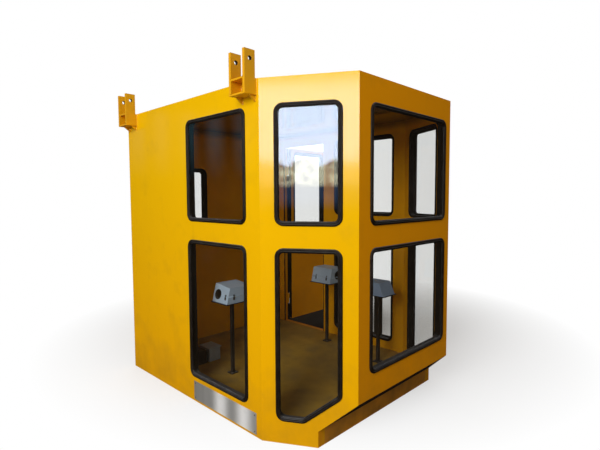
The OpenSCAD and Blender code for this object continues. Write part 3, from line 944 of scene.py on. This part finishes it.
def hanger_runs():
    """Runs of weld on the clevises: pad to wall, plates to pad, cross plate, gussets."""
    runs = []
    for node in HANGER_NODES:
        low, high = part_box(node)
        side = 1.0 if low.x > 0.0 else -1.0
        wall, rim = side * WIDTH_HALF, side * max(abs(low.x), abs(high.x))
        pad = wall + side * PAD_T
        foot, top = low.z + GUSSET_H, WALL_TOP
        near, far = low.y + EAR_T, high.y - EAR_T
        round_pad = ((low.y, top), (low.y, foot), (high.y, foot), (high.y, top))
        runs.append([(wall, y, z) for y, z in round_pad])
        for y in (near, far):
            runs.append([(pad, y, foot + CROSS_T), (pad, y, top - CROSS_T)])
            runs.extend([(x, y, z) for x in (pad, rim)] for z in (top, foot + CROSS_T))
        for y in (low.y + EAR_T / 2, near, far, high.y - EAR_T / 2):
            runs.append([(wall, y, low.z + GUSSET_TIP), (wall, y, foot)])
    return runs


def roof_runs():
    """The seam between the roof panel and the walls."""
    corners = []
    for before, face in zip(FACES[-1:] + FACES, FACES):
        turn = (before.out + face.out) / (1.0 + before.out.dot(face.out))
        corners.append(face.start + UP * WALL_TOP - turn * WALL_T)
    return [corners + corners[:1]]


def base_runs():
    """The seam between the apron and the front beam."""
    low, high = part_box("base_front_beam")
    return [[(x, low.y, high.z) for x in (low.x + BEAM_ENDS, high.x - BEAM_ENDS)]]


def stand_runs():
    """Square runs round the console posts, at the foot plates and under the trays."""
    runs = []
    for node in STAND_NODES:
        x, y, low, high = stand_axis(node)
        head = COLUMN_HALF if node == "front_console_stand" else POST_HALF
        for z, half in ((low.z + FOOT_T, POST_HALF), (high.z - TRAY_T, head)):
            ring = ((-1, -1), (1, -1), (1, 1), (-1, 1), (-1, -1))
            runs.append([(x + dx * half, y + dy * half, z) for dx, dy in ring])
    return runs


class CABIN_OT_weld_beads(bpy.types.Operator):
    """Lays the weld beads"""

    bl_idname = "cabin.weld_beads"
    bl_label = "Weld beads"

    def execute(self, context):
        trim = context.scene.cabin_trim
        tree = weld_tree()
        groups = (
            ("hanger_welds", hanger_runs(), trim.hanger_bead, "yellow_paint", "hanger_paint"),
            ("roof_seam_weld", roof_runs(), trim.roof_bead, "yellow_paint", None),
            ("apron_weld", base_runs(), trim.apron_bead, "base_paint", None),
            ("console_post_welds", stand_runs(), trim.post_bead, "black_steel", None),
        )
        for seed, (name, runs, radius, slot, finish) in enumerate(groups):
            values = {"Radius": radius, "Ripple": radius, "Seed": seed}
            grow_piece(name, runs_mesh(name + "_path", runs), tree, values, CABIN, slot, finish)
        return {"FINISHED"}


# ------------------------ clevis bushes

# Half of a bush's section in mm: out from the hole's wall, then in from the plate's face.
BUSH_END = ((-0.5, 0.0), (-0.2, -0.3), (0.8, -0.3), (0.8, 0.2), (-0.05, 0.3))


class CABIN_OT_hanger_bushes(bpy.types.Operator):
    """Lines the clevises' pin holes with dark steel bushes"""

    bl_idname = "cabin.hanger_bushes"
    bl_label = "Clevis bushes"

    def execute(self, context):
        shape = bmesh.new()
        for mount in frame["record"]["mounts"]:
            if mount["kind"] == "bore":
                hole, half = mount["dims"]["r_mm"], mount["dims"]["length_mm"] / 2
                foot = [(hole + x, -half + y) for x, y in BUSH_END]
                head = [(radius, -height) for radius, height in reversed(foot)]
                turned(shape, foot + head, 32, seated(mount["pos_m"], mount["axis"]))
        shape_piece("hanger_bushes", shape, CABIN, "black_steel", "bush_steel")
        return {"FINISHED"}


# ------------------------ console fittings

# Sections in mm: the lips' inwards from the path and then over it, as for the rubber, and the
# grommet's radius and height.
LID_LIP = ((1.0, -4.0), (-1.4, -4.0), (-2.6, -3.0), (-2.6, 2.4), (-1.6, 3.6), (1.0, 3.6))
FOOT_LIP = ((1.0, 0.0), (-3.0, 0.0), (-3.0, 1.8), (-2.2, 2.6), (1.0, 2.6))
GROMMET = (
    (0.0, -11.0), (30.0, -11.0), (34.4, -9.0), (34.6, 0.2), (39.0, 0.2), (39.8, 1.2), (38.0, 2.8),
    (33.0, 3.0), (30.4, 1.4), (29.0, -3.0), (26.0, -6.0), (12.0, -7.6), (0.0, -8.0),
)
# The left console's cable hole: over the box's foot, and behind its middle.
HOLE_RIM = 0.041
HOLE_RISE = 0.060
HOLE_BACK = 0.038
# How far a latch sits in from the end of a box's side, and at the left console's near left corner
# along the near side and along the left one.
LATCH_ENDS = 0.050
LATCH_LEFT = 0.065
LATCH_NEAR = 0.034
# The blocks of a toggle latch in mm, each as its corners and its rounding.
LATCH_BLOCKS = (
    ((-8.0, -26.0, -0.5), (8.0, -2.0, 1.6), 0.7),
    ((-6.0, -22.0, 1.0), (6.0, 0.0, 5.0), 1.2),
    ((-3.2, -4.0, 3.0), (3.2, 12.0, 5.2), 0.8),
    ((-7.0, 6.0, -0.5), (7.0, 17.0, 1.8), 0.7),
    ((-5.0, 9.0, 1.2), (5.0, 13.0, 6.2), 1.0),
)
LATCH_PIVOT = ((0.0, -7.0), (2.2, -7.0), (2.2, 7.0), (0.0, 7.0))


def console_ring(node, share, lean):
    """Outline of a console box at a share of its height, and that height."""
    low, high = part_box(node)
    left = low.x + lean * share
    ring = [(left, low.y), (high.x, low.y), (high.x, high.y), (left, high.y)]
    return ring, low.z + (high.z - low.z) * share


def toggle_latch():
    """Toggle latch, seated on Z = 0 with its hook upwards; sizes in mm."""
    shape = bmesh.new()
    for block in LATCH_BLOCKS:
        slab(shape, *block)
    pivot = Matrix.Translation((0.0, -3.0 * MM, 3.2 * MM)) @ Matrix.Rotation(math.radians(90.0), 4, "Y")
    turned(shape, LATCH_PIVOT, 12, pivot)
    return mesh_of(shape, "toggle_latch")


def leaning_side(low, high):
    """The way that a side console's leaning left side looks."""
    return Vector((-(high.z - low.z), 0.0, CONSOLE_LEAN)).normalized()


def latch_seats():
    """Where the lids are latched down, on the console boxes' near and left sides."""
    low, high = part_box("left_console_box")
    seam = low.z + (high.z - low.z) * LID_SHARE
    side = leaning_side(low, high)
    seats = [(Vector((x, low.y, seam)), -REARWARDS) for x in (low.x + LATCH_LEFT, high.x - LATCH_ENDS)]
    seats.append((Vector((low.x + CONSOLE_LEAN * LID_SHARE, low.y + LATCH_NEAR, seam)), side))
    low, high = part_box("right_console_box")
    seats.extend(
        (Vector((low.x + CONSOLE_LEAN * LID_SHARE, y, seam)), side)
        for y in (low.y + LATCH_ENDS, high.y - LATCH_ENDS)
    )
    return seats


def cable_hole_places():
    """Middle of each console's cable hole and the way it looks."""
    low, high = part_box("left_console_box")
    left = Vector((
        low.x + CONSOLE_LEAN * HOLE_RISE / (high.z - low.z),
        (low.y + high.y) / 2 + HOLE_BACK,
        low.z + HOLE_RISE,
    ))
    side = leaning_side(low, high)
    low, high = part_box("right_console_box")
    right = Vector(((low.x + high.x + CONSOLE_LEAN) / 2, low.y, (low.z + high.z) / 2))
    return ((left, side), (right, -REARWARDS))


def lip_beside_hole(ring):
    """The left console's lip run, broken where the cable hole is."""
    middle = cable_hole_places()[0][0].y
    left = ring[0][0]
    return [(left, middle - HOLE_RIM)] + ring + [(left, middle + HOLE_RIM)]


class CABIN_OT_console_fittings(bpy.types.Operator):
    """Gives the consoles their lid lips, latches and cable grommets"""

    bl_idname = "cabin.console_fittings"
    bl_label = "Console fittings"

    def execute(self, context):
        sweep = sweep_tree()
        lip, foot = section_object("lid_lip_section", LID_LIP), section_object("foot_lip_section", FOOT_LIP)
        for name, box, share, section, lean, slot in (
            ("left_console_lid_lip", "left_console_box", LID_SHARE, lip, CONSOLE_LEAN, "grey_paint"),
            ("right_console_lid_lip", "right_console_box", LID_SHARE, lip, CONSOLE_LEAN, "grey_paint"),
            ("front_console_foot_lip", "front_console_box", 0.0, foot, 0.0, "slate_paint"),
        ):
            ring, height = console_ring(box, share, lean)
            broken = box == "left_console_box"
            run = [(x, y, 0.0) for x, y in (lip_beside_hole(ring) if broken else ring)]
            path = runs_mesh(name + "_path", [run], closed=not broken)
            lifted = Matrix.Translation((0.0, 0.0, height))
            grow_piece(name, path, sweep, {"Section": section}, CABIN, slot, matrix=lifted, rounded=False)
        latch = shown("toggle_latch", toggle_latch())
        points = points_mesh("console_latches_points", latch_seats())
        values = {"Fastener": latch, "Spin": 0.0, "Seed": 0}
        grow_piece(
            "console_latches", points, scatter_tree(), values, CABIN, "stainless_steel", "dark_steel",
            rounded=False,
        )
        for holder in (lip, foot, latch):
            bpy.data.objects.remove(holder)
        shape = bmesh.new()
        for point, out in cable_hole_places():
            turned(shape, GROMMET, 40, seated(point, out))
        shape_piece("console_cable_grommets", shape, CABIN, "rubber_seal")
        return {"FINISHED"}


# ------------------------ door fittings

# Sections in mm: the stop's as for the rubber, the others' radius and height.
DOOR_STOP = (
    (-0.5, -5.0), (3.0, -5.5), (7.5, -5.0), (10.5, -2.6), (11.5, 0.0), (10.5, 2.8), (8.0, 4.8),
    (4.6, 5.2), (2.6, 4.2), (-0.5, 4.2),
)
PIN_CAP = ((0.0, -0.5), (9.4, -0.5), (9.4, 1.0), (7.6, 3.2), (4.6, 4.6), (0.0, 5.0))
ROSETTE = (
    (0.0, -0.5), (13.0, -0.5), (13.0, 2.0), (11.6, 3.4), (8.6, 3.8), (8.2, 5.6), (7.2, 6.2), (0.0, 6.2)
)
# The stop's rubber off the wall's inner face and off the floor, the strips' clearance to the
# hinges, and the rosettes' drop under the handle's middle.
STOP_DEPTH = 0.0036
STOP_LIFT = 0.001
STRIP_GAP = 0.006
LOCK_DROP = 0.040
# The strike plate's middle, as a share of the wall's thickness from its outer face.
STRIKE_SHARE = 0.42
# In mm: the hinge strips' radius, the chamfer of their ends and their backs' depth behind the pins'
# line, how far the leaf's edge strip stands out and keeps clear of the leaf's ends and inner and
# outer face, and how far pieces sink into what carries them.
STRIP_R = 12.6
STRIP_END = 1.0
STRIP_BACK = (1.0, 7.0)
EDGE_OUT = 3.0
EDGE_CLEAR = (4.0, 4.0, 2.0)
SINK = 0.5
# The blocks of the lock in mm, each as its corners and its rounding.
KEYHOLE = ((-1.0, -4.0, 5.0), (1.0, 4.0, 6.6), 0.3)
FACE_PLATE = ((-11.0, -95.0, -0.5), (11.0, 95.0, 1.4), 0.6)
LATCH_BOLT = ((-6.5, -9.0, 0.5), (6.5, 9.0, 3.6), 1.2)
STRIKE_PLATE = ((-14.0, -60.0, -0.5), (14.0, 60.0, 1.6), 0.6)


def hinge_gaps():
    """Upright stretches between the hinges, from the floor to the doorway's top."""
    ends = [FLOOR_TOP + STRIP_GAP]
    for z in HINGE_HEIGHTS:
        ends.extend((z - STRIP_GAP, z + HINGE_H + STRIP_GAP))
    ends.append(LINTEL_LOW.z - STRIP_GAP)
    return zip(ends[::2], ends[1::2])


def add_door_stop():
    """The stop's rubber, up one side of the doorway, over it and down the other."""
    foot = FLOOR_TOP + STOP_LIFT
    near, far, head = LINTEL_LOW.y, LINTEL_HIGH.y, LINTEL_LOW.z
    corners = ((far, foot), (far, head), (near, head), (near, foot))
    path = runs_mesh("door_stop_path", [[RIGHT.flat((0.0, y, z)).to_3d() for y, z in corners]])
    section = section_object("door_stop_section", DOOR_STOP)
    matrix = RIGHT.matrix() @ Matrix.Translation((0.0, 0.0, STOP_DEPTH - WALL_T))
    grow_piece(
        "door_stop_rubber", path, sweep_tree(), {"Section": section}, CABIN, "rubber_seal", matrix=matrix
    )
    bpy.data.objects.remove(section)


def add_door_strips():
    """The rubber strips in the hinges' gaps and on the leaf's hinged edge."""
    shape = bmesh.new()
    for foot, head in hinge_gaps():
        low, high = foot / MM, head / MM
        inner, start, end = STRIP_R - STRIP_END, low + STRIP_END, high - STRIP_END
        profile = ((0.0, low), (inner, low), (STRIP_R, start), (STRIP_R, end), (inner, high), (0.0, high))
        turned(shape, profile, 20, Matrix.Translation((HINGE_X, HINGE_Y, 0.0)))
        near, far = [HINGE_Y / MM + depth for depth in STRIP_BACK]
        slab(shape, (WIDTH_HALF / MM - SINK, near, start), (HINGE_X / MM, far, end), 0.8)
    shape_piece("hinge_gap_strips", shape, CABIN, "rubber_seal")

    shape = bmesh.new()
    low, high = LEAF_LOW / MM, LEAF_HIGH / MM
    ends, inner, outer = EDGE_CLEAR
    slab(
        shape,
        (low.x - EDGE_OUT, low.y + inner, low.z + ends),
        (low.x + SINK, high.y - outer, high.z - ends),
        0.9,
    )
    shape_piece("leaf_edge_strip", shape, DOOR, "rubber_seal")


def add_pin_caps():
    """A cap on each hinge pin."""
    shape = bmesh.new()
    for z in HINGE_HEIGHTS:
        turned(shape, PIN_CAP, 20, Matrix.Translation((HINGE_X, HINGE_Y, z + HINGE_H)))
    shape_piece("hinge_pin_caps", shape, CABIN, "base_paint")


def add_lock():
    """The key rosettes under the handle, the lock's face plate and the strike plate on the jamb."""
    places = handle_places()
    shape = bmesh.new()
    for place, out in places:
        keyhole = place - UP * LOCK_DROP
        turned(shape, ROSETTE, 28, seated(keyhole - out * SINK * MM, out))
        slab(shape, *KEYHOLE, seated(keyhole, out))
    shape_piece("lock_rosettes", shape, DOOR, "stainless_steel", "zinc")

    middle = places[0][0].z
    shape = bmesh.new()
    edge = seated((LEAF_HIGH.x, (LEAF_LOW.y + LEAF_HIGH.y) / 2, middle), RIGHTWARDS)
    slab(shape, *FACE_PLATE, edge)
    slab(shape, *LATCH_BOLT, edge)
    shape_piece("lock_face_plate", shape, DOOR, "stainless_steel", "zinc")

    shape = bmesh.new()
    jamb = seated((WIDTH_HALF - WALL_T * STRIKE_SHARE, LINTEL_LOW.y, middle), REARWARDS)
    slab(shape, *STRIKE_PLATE, jamb)
    shape_piece("lock_strike_plate", shape, CABIN, "stainless_steel", "zinc")


class CABIN_OT_door_fittings(bpy.types.Operator):
    """Gives the doorway its stop rubber and hinge strips, and the leaf its lock parts"""

    bl_idname = "cabin.door_fittings"
    bl_label = "Door fittings"

    def execute(self, context):
        for add in (add_door_stop, add_door_strips, add_pin_caps, add_lock):
            add()
        return {"FINISHED"}


# ------------------------ finishes on the CAD nodes


class CABIN_OT_finishes(bpy.types.Operator):
    """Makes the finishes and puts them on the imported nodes"""

    bl_idname = "cabin.finishes"
    bl_label = "Finishes"

    def execute(self, context):
        FINISHES.update(make_finishes(context.scene.cabin_look))
        for part in frame["record"]["subparts"]:
            mesh = NODES[part["node"]].data
            mesh.materials.clear()
            finish = "hanger_paint" if part["node"] in HANGER_NODES else part["material_slot"]
            mesh.materials.append(FINISHES[finish])
        return {"FINISHED"}


# ------------------------ studio

# The floor, the ring of surroundings on it, and the middle of the shaded nook outside the doorway.
FLOOR_HALF = 60.0
RING_RADIUS = 7.6
RING_TOP = 5.2
RING_SIDES = 96
RING_LIFT = 0.002
NOOK = (1.36, 1.0, 0.0)
NOOK_DARK = (0.030, 0.026, 0.022)
FLOOR_SHOWN = (0.88, 0.88, 0.88)
FLOOR_LIGHTING = (0.34, 0.34, 0.34)
AMBIENT_TONE = (1.0, 0.93, 0.85)

# The camera: its place, its turns in degrees, its lens in mm and how far it sees.
CAMERA_PLACE = (-2.5432, -2.6054, 1.5033)
CAMERA_TURN = (45.584, -3.716, -0.273)
CAMERA_LENS = 26.101
CAMERA_FAR = 200.0

# Each lamp: the setting of its power, its width, its place and where it aims.
LAMPS = (
    ("key", 4.0, (-7.7, -2.5, 4.2), (-0.6, -0.6, 1.1)),
    ("fill", 4.0, (3.2, 6.5, 4.5), (0.0, 0.0, 1.1)),
    ("front", 1.5, (-0.6, -3.4, 3.7), (0.0, -1.1, 1.6)),
)


def only_for_mirrors(panel):
    """Only what is mirrored shows the panel: it lights nothing and the camera doesn't see it."""
    for rays in ("camera", "diffuse", "transmission", "volume_scatter", "shadow"):
        setattr(panel, "visible_" + rays, False)


def make_world(look):
    """White where it is seen, and a dim warm light from all round."""
    world = bpy.data.worlds.new("studio_world")
    world.use_nodes = True
    graph = Graph(world.node_tree)
    lit = graph.node("ShaderNodeBackground", {"Color": opaque(AMBIENT_TONE), "Strength": look.ambient})
    white = graph.node("ShaderNodeBackground", {"Color": WHITE, "Strength": 1.0})
    both = graph.blend(graph.seen(graph.node("ShaderNodeLightPath")), lit, white)
    graph.node("ShaderNodeOutputWorld", {"Surface": both.outputs[0]})
    bpy.context.scene.world = world


def floor_material():
    """Pale floor that keeps the cabin's shadow and is white where the camera sees it lit.

    Outside the doorway it is dark where it shows through the panes, as ground in the leaf's shade.
    """
    graph = new_material("studio_floor")
    path = graph.node("ShaderNodeLightPath")
    seen = graph.seen(path)
    nook = graph.node("ShaderNodeVectorMath", {0: graph.place(), 1: NOOK}, operation="SUBTRACT")
    away = graph.value("ShaderNodeVectorMath", {0: nook.outputs[0]}, "Value", operation="LENGTH")
    paned = graph.between(Value(graph, path.outputs["Transparent Depth"]), 0.5, 1.5)
    dark = (1.0 - graph.between(away, 0.4, 1.1)) * paned
    tone = graph.mix(seen, FLOOR_LIGHTING, graph.mix(dark, FLOOR_SHOWN, NOOK_DARK))
    matt = graph.node("ShaderNodeBsdfDiffuse", {"Color": tone})
    white = graph.node("ShaderNodeEmission", {"Color": WHITE, "Strength": 1.0})
    share = seen * graph.between(away, 0.7, 3.0)
    return finished(graph, graph.blend(share, matt, white))


def surroundings_material(look):
    """What mirrors see round the studio: a dim wall, a bright upper sky and trees in front of the left
    taper, and a pale veil high up at the rear left."""
    graph = new_material("studio_surroundings")
    back, side, high = graph.axis("X"), graph.axis("Y"), graph.axis("Z")
    ragged = graph.noise(0.45, 6.0) * 0.5
    open_side = graph.between(side, -5.6, -5.0) * (1.0 - graph.between(side, -0.9, -0.5))
    open_side = open_side * (1.0 - graph.between(back, -4.6, -4.2))
    sky = graph.between(high + ragged, 2.45, 2.54) * (1.0 - graph.between(high, 3.75, 3.95)) * open_side
    trees = graph.between(high, 1.69, 1.80) * open_side
    leaves = graph.between(graph.noise(0.16, 5.0), 0.35, 0.7)
    green = graph.mix(leaves, (0.10, 0.10, 0.09), (0.50, 0.50, 0.36))
    blue = graph.mix(graph.between(high, 1.9, 4.8), (0.72, 0.81, 0.98), (0.60, 0.76, 0.98))
    dusk = open_side * graph.between(high + ragged * 0.4, 1.32, 1.6)
    veil = graph.waves("X", 0.683, 1.645) * graph.between(high, 1.9, 2.7)
    veil = veil * (1.0 - graph.between(high, 3.3, 3.5)) * graph.between(side, 3.5, 4.5)
    colour = graph.mix(dusk, (0.0020, 0.0016, 0.0012), (0.012, 0.024, 0.050))
    colour = graph.mix(veil, colour, (0.006, 0.016, 0.021))
    colour = graph.mix(sky, graph.mix(trees, colour, green), blue)
    light = graph.node("ShaderNodeEmission", {"Color": colour, "Strength": look.sky})
    return finished(graph, light)


def ring_mesh():
    """The wall round the studio, open above, with a bottom just over the floor."""
    verts, faces = [], []
    for i in range(RING_SIDES):
        turn = 2.0 * math.pi * i / RING_SIDES
        x, y = RING_RADIUS * math.cos(turn), RING_RADIUS * math.sin(turn)
        verts.extend([(x, y, RING_LIFT), (x, y, RING_TOP)])
        a, b = 2 * i, 2 * ((i + 1) % RING_SIDES)
        faces.append((b, a, a + 1, b + 1))
    faces.append(tuple(range(0, 2 * RING_SIDES, 2)))
    mesh = bpy.data.meshes.new("studio_surroundings")
    mesh.from_pydata(verts, [], faces)
    return mesh


def floor_mesh():
    """One large square on the ground."""
    corners = ((-1, -1), (1, -1), (1, 1), (-1, 1))
    mesh = bpy.data.meshes.new("studio_floor")
    mesh.from_pydata([(x * FLOOR_HALF, y * FLOOR_HALF, 0.0) for x, y in corners], [], [(0, 1, 2, 3)])
    return mesh


def add_lamp(name, power, size, place, aim):
    """A square lamp that neither the camera nor a mirror sees."""
    lamp = bpy.data.lights.new(name, "AREA")
    lamp.shape = "SQUARE"
    lamp.size = size
    lamp.energy = power
    holder = shown(name, lamp)
    holder.location = place
    holder.rotation_euler = (Vector(aim) - Vector(place)).to_track_quat("-Z", "Y").to_euler()
    holder.visible_camera = False
    holder.visible_glossy = False


def add_camera():
    """The camera, turned by a yaw, a pitch and a roll."""
    data = bpy.data.cameras.new("studio_camera")
    data.lens = CAMERA_LENS
    data.sensor_width = 36.0
    data.clip_end = CAMERA_FAR
    yaw, pitch, roll = [math.radians(a) for a in CAMERA_TURN]
    ahead = Vector((math.sin(yaw), math.cos(yaw), 0.0))
    right = Vector((math.cos(yaw), -math.sin(yaw), 0.0))
    look = ahead * math.cos(pitch) + UP * math.sin(pitch)
    top = UP * math.cos(pitch) - ahead * math.sin(pitch)
    side = right * math.cos(roll) + top * math.sin(roll)
    head = top * math.cos(roll) - right * math.sin(roll)
    placed = Matrix((side, head, -look)).transposed().to_4x4()
    placed.translation = Vector(CAMERA_PLACE)
    camera = shown("studio_camera", data)
    camera.matrix_world = placed
    bpy.context.scene.camera = camera


class CABIN_OT_stage(bpy.types.Operator):
    """Puts up the floor, the surroundings, the lamps and the camera"""

    bl_idname = "cabin.stage"
    bl_label = "Studio"

    def execute(self, context):
        look = context.scene.cabin_look
        context.scene.view_settings.view_transform = "Standard"
        make_world(look)
        floor, ring = shown("studio_floor", floor_mesh()), shown("studio_surroundings", ring_mesh())
        for piece, material in ((floor, floor_material()), (ring, surroundings_material(look))):
            piece.data.materials.append(material)
        only_for_mirrors(ring)
        for name, size, place, aim in LAMPS:
            add_lamp(name + "_lamp", getattr(look, name), size, place, aim)
        add_camera()
        return {"FINISHED"}


# ------------------------ settings and panel


def colour_setting(name, description, default):
    """A colour that can be set."""
    return bpy.props.FloatVectorProperty(
        name=name, description=description, subtype="COLOR", default=default, min=0.0, max=1.0
    )


def amount_setting(name, description, default, unit="NONE"):
    """An amount that can be set, from 0 up."""
    return bpy.props.FloatProperty(
        name=name, description=description, default=default, min=0.0, unit=unit, precision=4
    )


class CabinLook(bpy.types.PropertyGroup):
    """Colours and light of the finished cabin"""

    yellow: colour_setting("Yellow enamel", "Colour of the walls", (0.85, 0.475, 0.0008))
    # Painted shade: the tone of the walls that look forwards and, in part, of the lower walls.
    painted_shade_yellow: colour_setting("Deep yellow", "Tone of the walls that look forwards", (0.80, 0.30, 0.0008))
    # Painted shade: the tone of the walls inside the room.
    painted_room_shade: colour_setting("Room ochre", "Tone of the walls inside the room", (0.76, 0.34, 0.003))
    console_grey: colour_setting("Console grey", "Colour of the side consoles", (0.40, 0.50, 0.60))
    desk_slate: colour_setting("Desk slate", "Colour of the front console", (0.31, 0.41, 0.56))
    rubber: colour_setting("Rubber", "Colour of the window rubbers", (0.009, 0.0055, 0.003))
    glass_tint: colour_setting("Glass tint", "What one face of a pane lets through", (0.966, 0.970, 0.966))
    ambient: amount_setting("Ambient", "Strength of the light from all round", 0.24)
    key: amount_setting("Key lamp", "Power of the lamp at the front left", 580.0, "POWER")
    fill: amount_setting("Rear lamp", "Power of the lamp behind on the right", 150.0, "POWER")
    front: amount_setting("Front lamp", "Power of the lamp over the front wall", 15.0, "POWER")
    sky: amount_setting("Mirrored sky", "Brightness of the sky that glass mirrors", 13.0)


class CabinTrim(bpy.types.PropertyGroup):
    """Sizes of the fasteners and the weld beads"""

    plate_screw: amount_setting("Plate screw", "Radius of the nameplate's screws", 0.005, "LENGTH")
    hinge_screw: amount_setting("Hinge screw", "Radius of the hinges' screws", 0.0042, "LENGTH")
    small_screw: amount_setting("Small screw", "Radius of the handle's and lids' screws", 0.0032, "LENGTH")
    foot_bolt: amount_setting("Foot bolt", "Width of the foot bolts across their flats", 0.010, "LENGTH")
    screw_turn: amount_setting("Screw turn", "Most that a screw turns", math.radians(80.0), "ROTATION")
    hanger_bead: amount_setting("Hanger bead", "Radius of the weld on the clevises", 0.0036, "LENGTH")
    roof_bead: amount_setting("Roof bead", "Radius of the weld round the roof", 0.0030, "LENGTH")
    apron_bead: amount_setting("Apron bead", "Radius of the weld on the apron", 0.0034, "LENGTH")
    post_bead: amount_setting("Post bead", "Radius of the weld on the console posts", 0.0024, "LENGTH")


STEPS = (
    CABIN_OT_finishes,
    CABIN_OT_window_rubbers,
    CABIN_OT_fasteners,
    CABIN_OT_weld_beads,
    CABIN_OT_hanger_bushes,
    CABIN_OT_console_fittings,
    CABIN_OT_door_fittings,
    CABIN_OT_stage,
)


class CABIN_PT_panel(bpy.types.Panel):
    """Lists the steps that finish the cabin"""

    bl_label = "Crane cabin"
    bl_idname = "CABIN_PT_panel"
    bl_space_type = "VIEW_3D"
    bl_region_type = "UI"
    bl_category = "Crane cabin"

    def draw(self, context):
        for step in STEPS:
            self.layout.operator(step.bl_idname)


CLASSES = (CabinLook, CabinTrim, *STEPS, CABIN_PT_panel)


def register():
    for kind in CLASSES:
        bpy.utils.register_class(kind)
    bpy.types.Scene.cabin_look = bpy.props.PointerProperty(type=CabinLook)
    bpy.types.Scene.cabin_trim = bpy.props.PointerProperty(type=CabinTrim)


def unregister():
    del bpy.types.Scene.cabin_look, bpy.types.Scene.cabin_trim
    for kind in reversed(CLASSES):
        bpy.utils.unregister_class(kind)


def main():
    """Finishes the cabin."""
    register()
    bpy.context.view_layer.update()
    for step in STEPS:
        getattr(bpy.ops.cabin, step.bl_idname.split(".")[1])()


if __name__ == "__main__":
    main()
